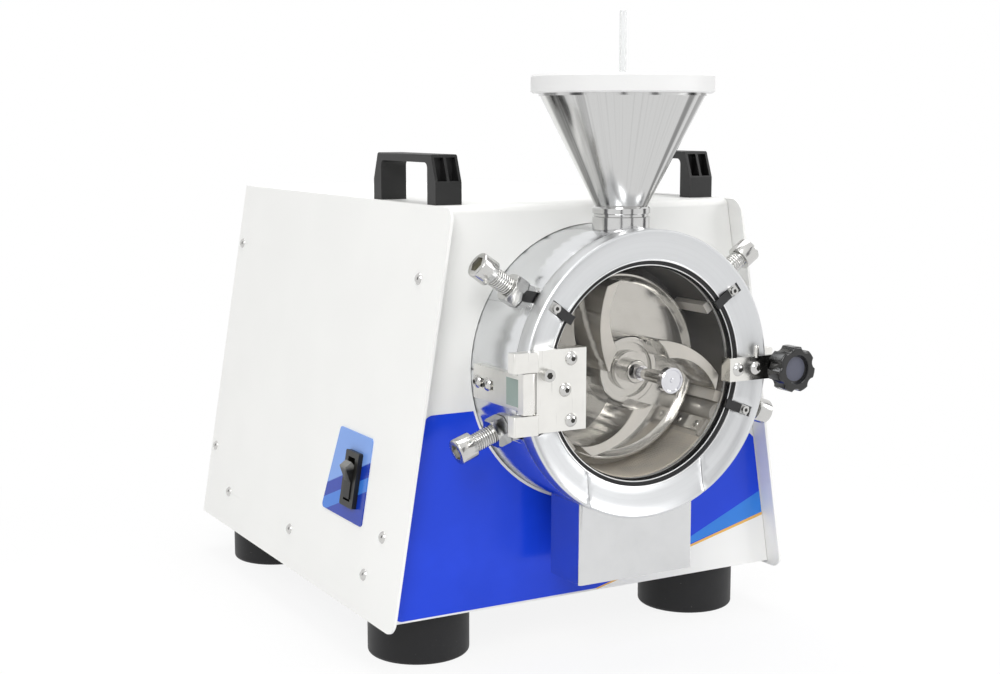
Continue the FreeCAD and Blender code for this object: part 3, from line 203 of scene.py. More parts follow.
def shade(colour, amount):
    return tuple(max(0.0, min(1.0, channel * amount)) for channel in colour)


def powder_coat(name, colour):
    """Baked powder paint: a fine orange-peel skin with faint tone changes."""
    finish = Finish(name, colour, 0.42, Specular_IOR_Level=0.42)
    cloud = finish.noise(9.0, 2.0)
    finish.coloured(cloud.ramp(0.3, 0.7), shade(colour, 0.985), shade(colour, 1.01))
    peel = finish.noise(900.0, 2.0, 0.6)
    finish.set(Roughness=peel * 0.12 + 0.36)
    return finish.bump(peel, 0.10, 0.0004)


def turned_metal(name, colour, roughness, lines, depth=0.05):
    """Metal faced on a lathe: fine rings round the chamber's axis."""
    finish = Finish(name, colour, roughness, 1.0)
    _, y, _ = finish.axes()
    rings = finish.noise(lines, 3.0, 0.7, finish.point(finish.radius(AXIS_Z), y, 0.0))
    smear = finish.noise(14.0, 3.0)
    finish.set(Roughness=(rings - 0.5) * 0.22 + (smear - 0.5) * 0.16 + roughness)
    finish.coloured(rings.ramp(0.35, 0.65), shade(colour, 0.98), shade(colour, 1.015))
    return finish.bump(rings, depth, 0.0003)


def brushed_metal(name, colour, roughness, along, depth=0.04):
    """Sheet or bar stock with a fine grain; along is 0, 1 or 2 for X, Y or Z."""
    finish = Finish(name, colour, roughness, 1.0)
    fine = 1400.0
    scale = [fine, fine, fine]
    scale[along] = 12.0
    grain = finish.noise(1.0, 3.0, 0.6, finish.stretched(*scale))
    smear = finish.noise(22.0, 4.0, 0.6)
    finish.set(Roughness=(grain - 0.5) * 0.24 + (smear - 0.5) * 0.2 + roughness)
    finish.coloured(grain.ramp(0.3, 0.7), shade(colour, 0.92), shade(colour, 1.04))
    return finish.bump(grain, depth, 0.0003)


def bright_metal(name, colour, roughness):
    """Polished steel with faint wipe marks."""
    finish = Finish(name, colour, roughness, 1.0)
    wipe = finish.noise(60.0, 4.0, 0.6)
    finish.set(Roughness=(wipe - 0.5) * 0.12 + roughness)
    finish.coloured(wipe.ramp(0.4, 0.75), colour, shade(colour, 0.9))
    return finish.bump(finish.noise(700.0, 2.0), 0.03, 0.0002)


def scratched_nickel(name, colour):
    """Pale plated sheet, almost plain, with a few fine scratches."""
    finish = Finish(name, colour, 0.3, 1.0)
    cloud = finish.noise(35.0, 4.0, 0.6)
    scratch = finish.noise(1.0, 2.0, 0.5, finish.stretched(900.0, 900.0, 25.0)).ramp(0.66, 0.72)
    toned = finish.mix(cloud.ramp(0.3, 0.75), colour, shade(colour, 0.92))
    finish.coloured(scratch * 0.5, toned, shade(colour, 0.7))
    finish.set(Roughness=(cloud - 0.5) * 0.2 + scratch * 0.1 + 0.3)
    return finish.bump(scratch, 0.05, 0.0002)


def moulded_plastic(name, colour, roughness, grain=0.16):
    """Moulded plastic with a spark-eroded skin."""
    finish = Finish(name, colour, roughness, Specular_IOR_Level=0.45)
    skin = finish.noise(1300.0, 2.0, 0.7)
    rub = finish.noise(40.0, 3.0)
    finish.coloured(rub.ramp(0.45, 0.8), colour, tuple(c * 1.25 + 0.004 for c in colour))
    finish.set(Roughness=(rub - 0.5) * 0.15 + roughness)
    return finish.bump(skin, grain, 0.0003)


def soft_rubber(name, colour):
    """Black rubber with a little dust and mould haze."""
    finish = Finish(name, colour, 0.55, Specular_IOR_Level=0.4)
    haze = finish.noise(25.0, 4.0, 0.65)
    specks = finish.noise(650.0, 2.0, 0.5).ramp(0.74, 0.80)
    toned = finish.mix(haze.ramp(0.35, 0.8), colour, tuple(c + 0.006 for c in colour))
    finish.coloured(specks * 0.5, toned, (0.30, 0.29, 0.27))
    finish.set(Roughness=haze * 0.3 + 0.36)
    return finish.bump(finish.noise(500.0, 3.0), 0.10, 0.0004)


def dusty_metal(name, colour, dust, amount):
    """Steel or aluminium that ground sample lies on, inside the chamber."""
    finish = Finish(name, colour, 0.35, 1.0)
    film = finish.noise(30.0, 6.0, 0.65)
    grit = finish.noise(1500.0, 2.0, 0.6).ramp(0.55, 0.72)
    share = (film.ramp(0.25, 0.7) * 0.6 + grit * 0.25 + amount - 0.4).clamped()
    finish.coloured(share, colour, dust)
    finish.set(Metallic=1.0 - share * 0.9, Roughness=share * 0.45 + 0.3)
    return finish.bump(grit, 0.12, 0.0002)


def window_plastic(name):
    """Clear window sheet: a see-through coat that still shines."""
    finish = Finish(name, (0.96, 0.97, 0.98), 0.04, Specular_IOR_Level=0.5)
    clear = finish.tree.nodes.new("ShaderNodeBsdfTransparent")
    clear.inputs["Color"].default_value = (0.975, 0.968, 0.955, 1.0)
    edge = finish.node("ShaderNodeFresnel", {}, {"IOR": 1.22})
    dull = finish.noise(20.0, 4.0)
    share = (edge * 0.8 + dull.ramp(0.5, 0.9) * 0.02).clamped()
    finish.blend(share, clear, finish.shader)
    return finish


def soften(piece, width):
    """Weld a CAD piece's loose triangles and round its edges, so that they catch the light."""
    weld = piece.modifiers.new("weld", "WELD")
    weld.merge_threshold = 0.00001
    bevel = piece.modifiers.new("edge", "BEVEL")
    bevel.width = width
    bevel.segments = 2
    bevel.limit_method = "ANGLE"
    bevel.angle_limit = math.radians(32.0)
    bevel.use_clamp_overlap = True
    bevel.harden_normals = True


def wear(finish, *nodes, edge=None):
    """Give CAD nodes one finish in all of their slots, and round their edges where a width is given."""
    for node in nodes:
        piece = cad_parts[node]
        materials = piece.data.materials
        if not materials:
            materials.append(finish.material)
        for index in range(len(materials)):
            materials[index] = finish.material
        if edge:
            soften(piece, edge)


def linked(name, data):
    """New object in the scene."""
    made = bpy.data.objects.new(name, data)
    bpy.context.scene.collection.objects.link(made)
    return made


def new_piece(name, mesh, finish, body):
    """Link a finished mesh as a piece that rides on a body."""
    piece = linked(name, mesh)
    if not mesh.materials:
        mesh.materials.append(finish.material)
    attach(piece, body)
    return piece


def mesh_from(name, build):
    """Mesh made by a function that fills a bmesh."""
    work = bmesh.new()
    build(work)
    bmesh.ops.recalc_face_normals(work, faces=work.faces)
    mesh = bpy.data.meshes.new(name)
    work.to_mesh(mesh)
    work.free()
    return mesh


def built_piece(name, build, finish, body):
    return new_piece(name, mesh_from(name, build), finish, body)


def lathe(name, profile, finish, body, axis, steps=180):
    """Ring round an axis along Y at (x, z), from a closed profile of (radius, y) points."""

    def build(work):
        rows = []
        for k in range(steps):
            turn = 2 * math.pi * k / steps
            across, up = math.cos(turn), math.sin(turn)
            rows.append([work.verts.new((axis[0] + r * across, y, axis[1] + r * up)) for r, y in profile])
        for k in range(steps):
            here, there = rows[k], rows[(k + 1) % steps]
            for j in range(len(profile)):
                work.faces.new((here[j], there[j], there[j - 1], here[j - 1]))

    return built_piece(name, build, finish, body)


def solids(node):
    """Low and high corner of each separate solid of a CAD node."""
    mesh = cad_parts[node].data
    leader = list(range(len(mesh.vertices)))

    def lead(index):
        while leader[index] != index:
            leader[index] = leader[leader[index]]
            index = leader[index]
        return index

    first = {}
    for vertex in mesh.vertices:
        key = tuple(round(value, 6) for value in vertex.co)
        leader[lead(vertex.index)] = lead(first.setdefault(key, vertex.index))
    for edge in mesh.edges:
        leader[lead(edge.vertices[0])] = lead(edge.vertices[1])
    groups = {}
    for vertex in mesh.vertices:
        groups.setdefault(lead(vertex.index), []).append(vertex.co)
    corners = []
    for points in groups.values():
        first = Vector(min(point[k] for point in points) for k in range(3))
        last = Vector(max(point[k] for point in points) for k in range(3))
        corners.append((first, last))
    return corners


def prism(work, first, last):
    """Closed bar between two rings of corners."""
    ends = [[work.verts.new(point) for point in ring] for ring in (first, last)]
    for k in range(len(first)):
        after = (k + 1) % len(first)
        work.faces.new((ends[0][k], ends[0][after], ends[1][after], ends[1][k]))
    work.faces.new(ends[0])
    work.faces.new(list(reversed(ends[1])))


def socket_shade_plug(work, start, into, depth, corner, flat):
    """Hexagonal dark plug in the lower part of a screw's socket: painted shade."""
    side = into.cross(flat)
    turns = [math.radians(60 * k) for k in range(6)]
    spokes = [flat * math.cos(turn) + side * math.sin(turn) for turn in turns]
    rings = [[start + into * along + spoke * corner for spoke in spokes] for along in (0.0, depth)]
    prism(work, *rings)


def arc(x, z, radius, start, sweep, steps):
    """Points of an arc round (x, z), with its angles in degrees."""
    turns = [math.radians(start + sweep * k / steps) for k in range(steps + 1)]
    return [(x + radius * math.cos(turn), z + radius * math.sin(turn)) for turn in turns]


def film(name, outline, finish, lift=0.00015):
    """Thin printed film on the front cover, from an outline of (x, z) points."""

    def build(work):
        front = [work.verts.new((x, FACE_Y - lift, z)) for x, z in outline]
        face = work.faces.new(front)
        made = bmesh.ops.extrude_face_region(work, geom=[face])
        moved = [v for v in made["geom"] if isinstance(v, bmesh.types.BMVert)]
        bmesh.ops.translate(work, verts=moved, vec=(0.0, lift * 0.8, 0.0))
        bmesh.ops.triangulate(work, faces=[f for f in work.faces if len(f.verts) > 4])

    return built_piece(name, build, finish, "cabinet")


def length(name, description, default):
    """A size that a user would change, in metres."""
    return FloatProperty(name=name, description=description, default=default, min=0.0, unit="LENGTH",
                         subtype="DISTANCE")


def tint(name, description, default):
    """A colour that a user would change."""
    return FloatVectorProperty(name=name, description=description, default=default, size=3,
                               min=0.0, max=1.0, subtype="COLOR")


class MillSizes(bpy.types.PropertyGroup):
    """Sizes that a user would change."""

    thread_pitch: length("Thread pitch", "Pitch of the adjusting screws", 0.00175)
    screen_hole: length("Screen hole", "Width of a hole in the outlet screen", 0.0008)
    screen_pitch: length("Screen pitch", "Distance between the screen's holes", 0.0018)
    edge_round: length("Edge rounding", "Rounding that edges get where they catch the light", 0.0004)
    field_top: length("Field top", "Height of the blue field's upper edge", 0.179)
    field_bottom: length("Field bottom", "Height of the blue field's lower edge", 0.0385)


class MillColours(bpy.types.PropertyGroup):
    """Colours that a user would change."""

    coat: tint("Cabinet", "Powder coat of the cabinet", (0.90, 0.90, 0.88))
    field: tint("Blue field", "Film on the front", (0.010, 0.058, 0.70))
    light_field: tint("Light blue", "Lighter band of the film", (0.035, 0.24, 0.80))
    stripe: tint("Stripe", "Fine line along the film's lower edge", (0.86, 0.48, 0.10))
    aluminium: tint("Aluminium", "Turned housing and door ring", (0.69, 0.70, 0.71))
    steel: tint("Stainless steel", "Sheet and bar parts", (0.62, 0.618, 0.605))
    black: tint("Black plastic", "Handles and knob", (0.010, 0.010, 0.010))
    dust: tint("Sample dust", "Ground sample in the chamber", (0.47, 0.44, 0.395))


def sizes():
    return bpy.context.scene.mill_sizes


def colours():
    return bpy.context.scene.mill_colours


FINISHES = {}


def finish_of(name, make, *values):
    """Make a finish once and keep it for the pieces that share it."""
    if name not in FINISHES:
        FINISHES[name] = make(name, *values)
    return FINISHES[name]


def steel_bright():
    return finish_of("bright_steel", bright_metal, (0.62, 0.615, 0.60), 0.17)


def steel_brushed():
    """Bar steel with its grain along Y."""
    return finish_of("brushed_steel_y", brushed_metal, tuple(colours().steel), 0.26, 1)


def black_plastic():
    return finish_of("black_plastic", moulded_plastic, tuple(colours().black), 0.5)


def black_rubber():
    return finish_of("black_rubber", soft_rubber, (0.004, 0.004, 0.005))


class Step:
    """Makes one part of the scene when its operator runs."""

    def execute(self, context):
        self.build()
        return {"FINISHED"}


class MILL_OT_cabinet(Step, bpy.types.Operator):
    """Powder coat on the cabinet, with its screws and inner frame"""

    bl_idname = "mill.cabinet"
    bl_label = "Cabinet"

    def build(self):
        coat = finish_of("powder_coat", powder_coat, tuple(colours().coat))
        wear(coat, "rear_panel")
        wear(coat, "left_side_panel", "right_side_panel", "front_top_cover", edge=sizes().edge_round)
        primer = finish_of("grey_primer", powder_coat, (0.42, 0.43, 0.44))
        wear(primer, "base_tray", "frame_uprights", "chamber_bracket")
        wear(steel_bright(), "cabinet_screws", "foot_screws", "handle_screws", "machine_bolts")
        wear(black_rubber(), "rubber_feet", "drive_belt")


class MILL_OT_front_film(Step, bpy.types.Operator):
    """Blue film, lighter band and fine line on the front cover"""

    bl_idname = "mill.front_film"
    bl_label = "Front film"

    def build(self):
        top = sizes().field_top
        bottom = sizes().field_bottom
        slope_start = (0.004, bottom)
        right_top = 0.1366
        right_bottom = 0.0765
        bare = 0.0040
        band = 0.0022
        inset = 0.0048
        lean = 47.0 / 285.0
        foot_half = 0.166
        foot_height = 0.034
        sheet = 0.0022

        def side(z):
            """Half the front's visible width at a height, less the margin."""
            return foot_half - sheet - lean * (z - foot_height) - inset

        housing_gap = 0.0022
        bite = HOUSE_RADIUS + housing_gap
        start = math.degrees(math.asin((top - AXIS_Z) / bite))
        low_round, high_round = 0.007, 0.008
        right_low = (side(right_bottom) + bare, right_bottom)
        field = arc(-side(bottom) + low_round, bottom + low_round, low_round, 265.0, -85.0, 6)
        field += arc(-side(top) + high_round, top - high_round, high_round, 172.0, -82.0, 6)
        field += arc(0.0, AXIS_Z, bite, 180 - start, 180 + 2 * start, 40)
        field += [(side(right_top) + bare, right_top), right_low, slope_start]
        deep = tuple(colours().field)
        blue = Finish("blue_film", deep, 0.2, Specular_IOR_Level=0.28)
        cloud = blue.noise(16.0, 3.0)
        lighter = tuple(c * 1.12 + 0.003 for c in deep)
        blue.coloured(cloud.ramp(0.4, 0.8), deep, lighter)
        blue.bump(blue.noise(35.0, 2.0), 0.05, 0.002)
        film("front_field", field, blue)

        rise = (right_low[1] - slope_start[1]) / (right_low[0] - slope_start[0])
        pale = tuple(colours().light_field)
        light = Finish("light_blue_film", pale, 0.22, Specular_IOR_Level=0.3)
        tone = light.noise(18.0, 3.0)
        light.coloured(tone.ramp(0.3, 0.8), pale, shade(pale, 0.86))
        band_start = 0.060
        band_foot = slope_start[1] + rise * (band_start - slope_start[0])
        band_height = 0.017
        raised = right_low[1] + band_height
        stripe = [(band_start, band_foot + 0.001), (side(raised) + bare, raised), right_low]
        film("front_light_band", stripe, light, 0.00022)
        warm = tuple(colours().stripe)
        ochre = Finish("ochre_line", warm, 0.3, Coat_Weight=0.4, Coat_Roughness=0.1)
        ochre.coloured(ochre.noise(400.0, 2.0), warm, shade(warm, 0.9))
        line = [slope_start, right_low, (right_low[0] + band * 0.16, right_low[1] - band),
                (slope_start[0] + band, slope_start[1] - band * 0.3)]
        film("front_fine_line", line, ochre, 0.00026)


class MILL_OT_switch(Step, bpy.types.Operator):
    """Blue plate, black frame and lever of the switch"""

    bl_idname = "mill.switch"
    bl_label = "Switch"

    def build(self):
        plate = Finish("switch_film", (0.03, 0.11, 0.62), 0.22, Specular_IOR_Level=0.3)
        _, y, z = plate.axes()
        first = low("switch_plate")
        last = high("switch_plate")
        across = (y - first.y) / (last.y - first.y)
        up = (z - first.z) / (last.z - first.z)
        diagonal = across * 0.45 + up
        pale = diagonal.ramp(0.72, 0.74)
        band = diagonal.ramp(0.40, 0.41) * (1.0 - diagonal.ramp(0.56, 0.57))
        tone = plate.noise(90.0, 2.0) * 0.2
        base = plate.mix(pale, (0.004, 0.035, 0.38), (0.20, 0.36, 0.78))
        plate.coloured((band * 0.85 + tone * 0.1).clamped(), base, (0.05, 0.22, 0.72))
        wear(plate, "switch_plate")
        black = finish_of("switch_black", moulded_plastic, (0.008, 0.008, 0.006), 0.42, 0.1)
        wear(black, "switch_frame", edge=0.0003)
        plain, rubbed = (0.006, 0.006, 0.006), (0.20, 0.20, 0.19)
        lever = Finish("switch_lever_black", plain, 0.3, Specular_IOR_Level=0.22)
        rub = lever.noise(120.0, 3.0)
        _, _, z = lever.axes()
        handled = (z - high("switch_lever").z).ramp(-0.0065, -0.002)
        worn = lever.mix(handled, plain, rubbed)
        lever.coloured(rub.ramp(0.35, 0.75) * 0.06, worn, rubbed)
        lever.bump(lever.noise(1200.0, 2.0), 0.1, 0.0002)
        wear(lever, "switch_lever", edge=0.0005)


class MILL_OT_handles(Step, bpy.types.Operator):
    """Moulded finish of the handles and the rear fittings"""

    bl_idname = "mill.handles"
    bl_label = "Handles"

    def build(self):
        wear(black_plastic(), "left_handle", "right_handle", edge=0.0007)
        wear(black_plastic(), "cable_gland", "fuse_holder", edge=0.0004)


class MILL_OT_chamber(Step, bpy.types.Operator):
    """Turned housing, door ring and window"""

    bl_idname = "mill.chamber"
    bl_label = "Chamber and door"

    def build(self):
        alloy = tuple(colours().aluminium)
        ring = finish_of("turned_ring", turned_metal, alloy, 0.33, 900.0, 0.02)
        wear(ring, "door_ring", "ring_lower_segment", edge=sizes().edge_round)
        self.housing(alloy)
        wear(black_rubber(), "chamber_seal", "window_gasket", "shaft_seal")
        self.window()
        self.knob()
        self.clips()
        # Real dust on the bars, with its colour painted lighter to stand in for light that does not reach
        # into the chamber.
        bars = finish_of("dusty_bars", dusty_metal, shade(alloy, 1.15), shade(colours().dust, 1.75), 0.55)
        wear(bars, "impact_bars", edge=0.0003)

    def housing(self, alloy):
        """Turned outside, and ground sample on the wall inside: its colour is a lit copy of the dust, with
        painted shade towards the upper right.
        """
        body = Finish("turned_housing", shade(alloy, 1.06), 0.19, 1.0)
        x, y, z = body.axes()
        radius = body.radius(AXIS_Z)
        within = 1.0 - radius.ramp(CAVITY_RADIUS + 0.0002, CAVITY_RADIUS + 0.0006)
        inside = within * (y > HOUSE_FRONT + 0.0002)
        film_noise = body.noise(28.0, 6.0, 0.65)
        grit = body.noise(1500.0, 2.0, 0.6).ramp(0.5, 0.72)
        dust = (inside * (film_noise.ramp(0.2, 0.7) * 0.3 + grit * 0.2 + 0.55)).clamped()
        rings = body.noise(700.0, 3.0, 0.7, body.point(y, radius, 0.0))
        tone = body.mix(rings.ramp(0.35, 0.65), shade(alloy, 1.05), shade(alloy, 1.07))
        # Painted shade: the wall inside darkens towards the upper right, between a lit copy and a shaded
        # copy of the dust colour.
        corner = (x * 0.6 + (z - AXIS_Z) * 0.8).ramp(-0.03, 0.06) * inside
        lit_and_shaded_dust = body.mix(corner, shade(colours().dust, 1.7), shade(colours().dust, 0.13))
        body.coloured((dust + corner * 0.4).clamped(), tone, lit_and_shaded_dust)
        body.set(Metallic=1.0 - dust * 0.9)
        body.set(Roughness=(rings - 0.5) * 0.05 + 0.19 + inside * 0.35)
        body.bump(rings, 0.01, 0.0002)
        wear(body, "chamber_housing", edge=sizes().edge_round)

    def window(self):
        """Clear sheet, with a bright rim that paints the highlight along the glass edge, a bright bezel and
        a black lip behind.
        """
        wear(finish_of("clear_window", window_plastic), "window_glass")
        face = low("window_gasket").y
        back = high("window_gasket").y
        glass = low("window_glass").y
        bright = finish_of("window_rim", bright_metal, (0.95, 0.95, 0.95), 0.35)
        axis = (0.0, AXIS_Z)
        skin, slant = 0.00005, 0.0002
        # The bright rim is a painted highlight along the glass edge.
        inner, outer, thick = 0.0734, 0.0741, 0.0004
        rim = [(inner, glass - skin), (inner + slant, glass - thick),
               (outer, glass - thick), (outer, glass - skin)]
        lathe("window_rim", rim, bright, "door", axis)
        inner, outer, thick = 0.0768, 0.0775, 0.0007
        bezel = [(inner, face + slant), (inner, face - thick),
                 (outer, face - thick - slant), (outer, face + slant)]
        lathe("window_bezel", bezel, bright, "door", axis)
        inner, outer, thick = 0.0724, 0.0742, 0.00074
        lip = [(inner, back + skin), (inner, back - thick), (outer, back - thick), (outer, back + skin)]
        lathe("window_rear_lip", lip, black_rubber(), "door", axis)

    def knob(self):
        """Polished window knob and the pale sleeve round its stem."""
        wear(finish_of("chrome", bright_metal, (0.74, 0.74, 0.77), 0.08), "window_knob")
        stem = middle("window_knob")
        glass = low("window_glass").y
        foot, shoulder = glass - 0.0001, glass - 0.006
        end = low("window_knob").y + 0.0085
        thin, thick = 0.0033, 0.0046
        profile = [(thin, foot), (thin, end), (thick, end), (thick, shoulder), (thick - 0.0007, foot)]
        sleeve = finish_of("sleeve_chrome", bright_metal, (0.82, 0.81, 0.79), 0.16)
        lathe("knob_sleeve", profile, sleeve, "door", (stem.x, stem.z), 48)

    def clips(self):
        """Window clips: dark, with their outer ends worn bare."""
        black = (0.012, 0.012, 0.013)
        dark = Finish("clip_steel", black, 0.36)
        outer = dark.radius(AXIS_Z).ramp(0.0848, 0.0854)
        rub = dark.noise(150.0, 3.0)
        dark.coloured(outer, black, (0.55, 0.55, 0.54))
        dark.set(Metallic=outer * 0.9, Roughness=rub * 0.15 + 0.25)
        wear(dark, "window_clips", edge=0.0003)


class MILL_OT_hinge_and_latch(Step, bpy.types.Operator):
    """Bright hinge, latch and their screws"""

    bl_idname = "mill.hinge_and_latch"
    bl_label = "Hinge and latch"

    def build(self):
        nickel = finish_of("satin_nickel", scratched_nickel, (0.87, 0.86, 0.825))
        wear(nickel, "hinge_leaf", "hinge_bracket", "latch_catch", edge=0.0005)
        bare = (0.80, 0.79, 0.755)
        smooth = Finish("polished_strip", bare, 0.14, 1.0)
        x, _, _ = smooth.axes()
        strip = low("latch_strip").x
        # Painted shadow and reflection of the black knob: the strip darkens towards it.
        knob_shade_and_reflection = (x - strip).ramp(0.020, 0.030) * (smooth.noise(60.0, 3.0) * 0.3 + 0.75)
        smooth.coloured(knob_shade_and_reflection.clamped(), bare, (0.035, 0.034, 0.032))
        smooth.set(Roughness=smooth.noise(40.0, 3.0) * 0.15 + 0.08)
        wear(smooth, "latch_strip", edge=0.0004)
        wear(steel_bright(), "door_fitting_screws", "hinge_bracket_screws", "window_clip_screws")
        wear(steel_bright(), "knob_stud", "hinge_pin")
        self.plate()
        self.grease()
        self.star()

    def plate(self):
        """Bare plate on the outer side of the hinge bracket."""
        finish = finish_of("bare_plate", moulded_plastic, (0.27, 0.34, 0.31), 0.3, 0.05)
        size = (0.0005, 0.0150, 0.0180)
        place = (low("hinge_bracket").x + 0.0001, -0.2142, middle("hinge_bracket").z)

        def inlay(work):
            made = bmesh.ops.create_cube(work, size=1.0)
            bmesh.ops.scale(work, verts=made["verts"], vec=size)
            bmesh.ops.translate(work, verts=made["verts"], vec=place)

        built_piece("hinge_plate", inlay, finish, "cabinet")

    def grease(self):
        """Painted shade: dark plugs in the sockets of the door's and the bracket's screws."""
        # Dark finish that paints the shade inside the sockets.
        finish = finish_of("dried_grease", moulded_plastic, (0.016, 0.015, 0.012), 0.6, 0.1)

        def plugs(axis, rows):
            into, flat = (ALONG_Y, ALONG_X) if axis else (ALONG_X, ALONG_Y)

            def build(work):
                for node, rim, depth, corner in rows:
                    for first, last in solids(node):
                        start = (first + last) / 2
                        start[axis] = first[axis] + rim
                        socket_shade_plug(work, start, into, depth, corner, flat)

            return build

        door = plugs(1, (("door_fitting_screws", 0.0003, 0.0016, 0.00172),
                         ("window_clip_screws", 0.0003, 0.0006, 0.0014)))
        bracket = plugs(0, (("hinge_bracket_screws", 0.0005, 0.0009, 0.00165),))
        built_piece("door_socket_shade", door, finish, "door")
        built_piece("bracket_socket_shade", bracket, finish, "cabinet")

    def star(self):
        """Glossy star knob with a duller cap in its middle."""
        black = tuple(colours().black)
        knob = Finish("knob_black", black, 0.3, Specular_IOR_Level=0.6)
        centre = middle("star_knob")
        x, y, z = knob.axes()
        across = x - centre.x
        up = z - centre.z
        disc = 1.0 - (across * across + up * up).root().ramp(0.0082, 0.0088)
        front = 1.0 - (y - low("star_knob").y).ramp(0.003, 0.004)
        cap = disc * front
        knob.coloured(cap, black, (0.085, 0.09, 0.125))
        knob.set(Roughness=cap * 0.3 + knob.noise(50.0, 3.0) * 0.12 + 0.12)
        knob.bump(knob.noise(1200.0, 2.0), 0.08, 0.0002)
        wear(knob, "star_knob", edge=0.0005)


class MILL_OT_rotor(Step, bpy.types.Operator):
    """Polished rotor with ground sample on its vanes, and what lies round it"""

    bl_idname = "mill.rotor"
    bl_label = "Rotor"

    def build(self):
        bare = (0.60, 0.595, 0.58)
        polished = Finish("polished_rotor", bare, 0.14, 1.0)
        _, y, _ = polished.axes()
        front = low("rotor").y
        film_noise = polished.noise(45.0, 6.0, 0.65)
        grit = polished.noise(1600.0, 2.0, 0.6).ramp(0.5, 0.75)
        face = 1.0 - (y - front).ramp(0.0004, 0.0012)
        settled = face * (film_noise.ramp(0.2, 0.8) * 0.4 + 0.35)
        share = (settled + film_noise.ramp(0.45, 0.9) * 0.35 + grit * 0.15).clamped()
        rings = polished.noise(900.0, 3.0, 0.7, polished.point(polished.radius(AXIS_Z), 0.0, 0.0))
        polished.coloured(share, bare, (0.74, 0.72, 0.69))
        polished.set(Metallic=1.0 - share * 0.85)
        polished.set(Roughness=share * 0.4 + (rings - 0.5) * 0.1 + 0.13)
        polished.bump(rings, 0.03, 0.0002)
        wear(polished, "rotor", edge=0.0004)
        wear(steel_bright(), "rotor_screw", "screen_clamp_screws")
        wear(steel_brushed(), "spindle")
        dusty = finish_of("dusty_steel", dusty_metal, tuple(colours().steel), tuple(colours().dust), 0.35)
        wear(dusty, "screen_clamp", "screen_clips", edge=0.0003)


class MILL_OT_chute(Step, bpy.types.Operator):
    """Sheet steel of the discharge chute"""

    bl_idname = "mill.chute"
    bl_label = "Chute"

    def build(self):
        sheet = Finish("chute_sheet", tuple(colours().steel), 0.2, 1.0)
        grain = sheet.noise(1.0, 3.0, 0.6, sheet.stretched(1300.0, 1300.0, 10.0))
        smear = sheet.noise(18.0, 4.0, 0.6)
        sheet.set(Roughness=(grain - 0.5) * 0.18 + (smear - 0.5) * 0.18 + 0.22)
        sheet.coloured(smear.ramp(0.35, 0.75), (0.70, 0.705, 0.71), (0.64, 0.645, 0.65))
        sheet.bump(grain, 0.03, 0.0002)
        wear(sheet, "discharge_chute", edge=0.0004)


class MILL_OT_hopper(Step, bpy.types.Operator):
    """Spun cone, neck, white lid and clear rod"""

    bl_idname = "mill.hopper"
    bl_label = "Hopper"

    def build(self):
        centre = middle("hopper_cone")
        spun = Finish("spun_cone", (0.68, 0.68, 0.67), 0.16, 1.0)
        x, y, z = spun.axes()
        away = y - centre.y
        turn = away.math("ARCTAN2", away, x)
        streaks = spun.noise(1.0, 4.0, 0.7, spun.point(turn * 30.0, z * 2.5, 0.0))
        # Painted reflections: dark streaks at four fixed angles round the cone. The noise streaks are the
        # sheet's own tone.
        painted_reflections = 0.0
        reflection_streak_places = ((178.4, 12.0, 0.8), (-153.6, 5.0, 0.4), (-68.6, 5.0, 0.8), (-52.6, 8.0, 0.8))
        for angle, width, depth in reflection_streak_places:
            near = (turn - math.radians(angle)).cosine()
            edge = math.cos(math.radians(width))
            core = math.cos(math.radians(width / 3))
            painted_reflections = near.ramp(edge, core) * depth + painted_reflections
        rings = spun.noise(1.0, 2.0, 0.6, spun.point(z * 1500.0, 0.0, 0.0))
        share = (painted_reflections + (streaks.ramp(0.35, 0.7) - 0.5) * 0.3).clamped()
        spun.coloured(share, (0.61, 0.61, 0.605), (0.13, 0.13, 0.128))
        spun.set(Roughness=(streaks - 0.5) * 0.2 + (rings - 0.5) * 0.1 + 0.17)
        spun.bump(rings, 0.03, 0.0002)
        wear(spun, "hopper_cone")
        wear(finish_of("neck_steel", bright_metal, (0.62, 0.62, 0.615), 0.14), "hopper_neck")
        pale = (0.80, 0.80, 0.795)
        white = Finish("white_lid", pale, 0.4, Specular_IOR_Level=0.45)
        white.coloured(white.noise(60.0, 3.0), pale, (0.77, 0.77, 0.765))
        white.bump(white.noise(500.0, 2.0), 0.05, 0.0003)
        wear(white, "hopper_lid")
        rod = Finish("clear_rod", (0.93, 0.94, 0.94), 0.06, Transmission_Weight=0.5, IOR=1.45)
        rod.set(Roughness=rod.noise(80.0, 2.0) * 0.1 + 0.04)
        wear(rod, "lid_rod")


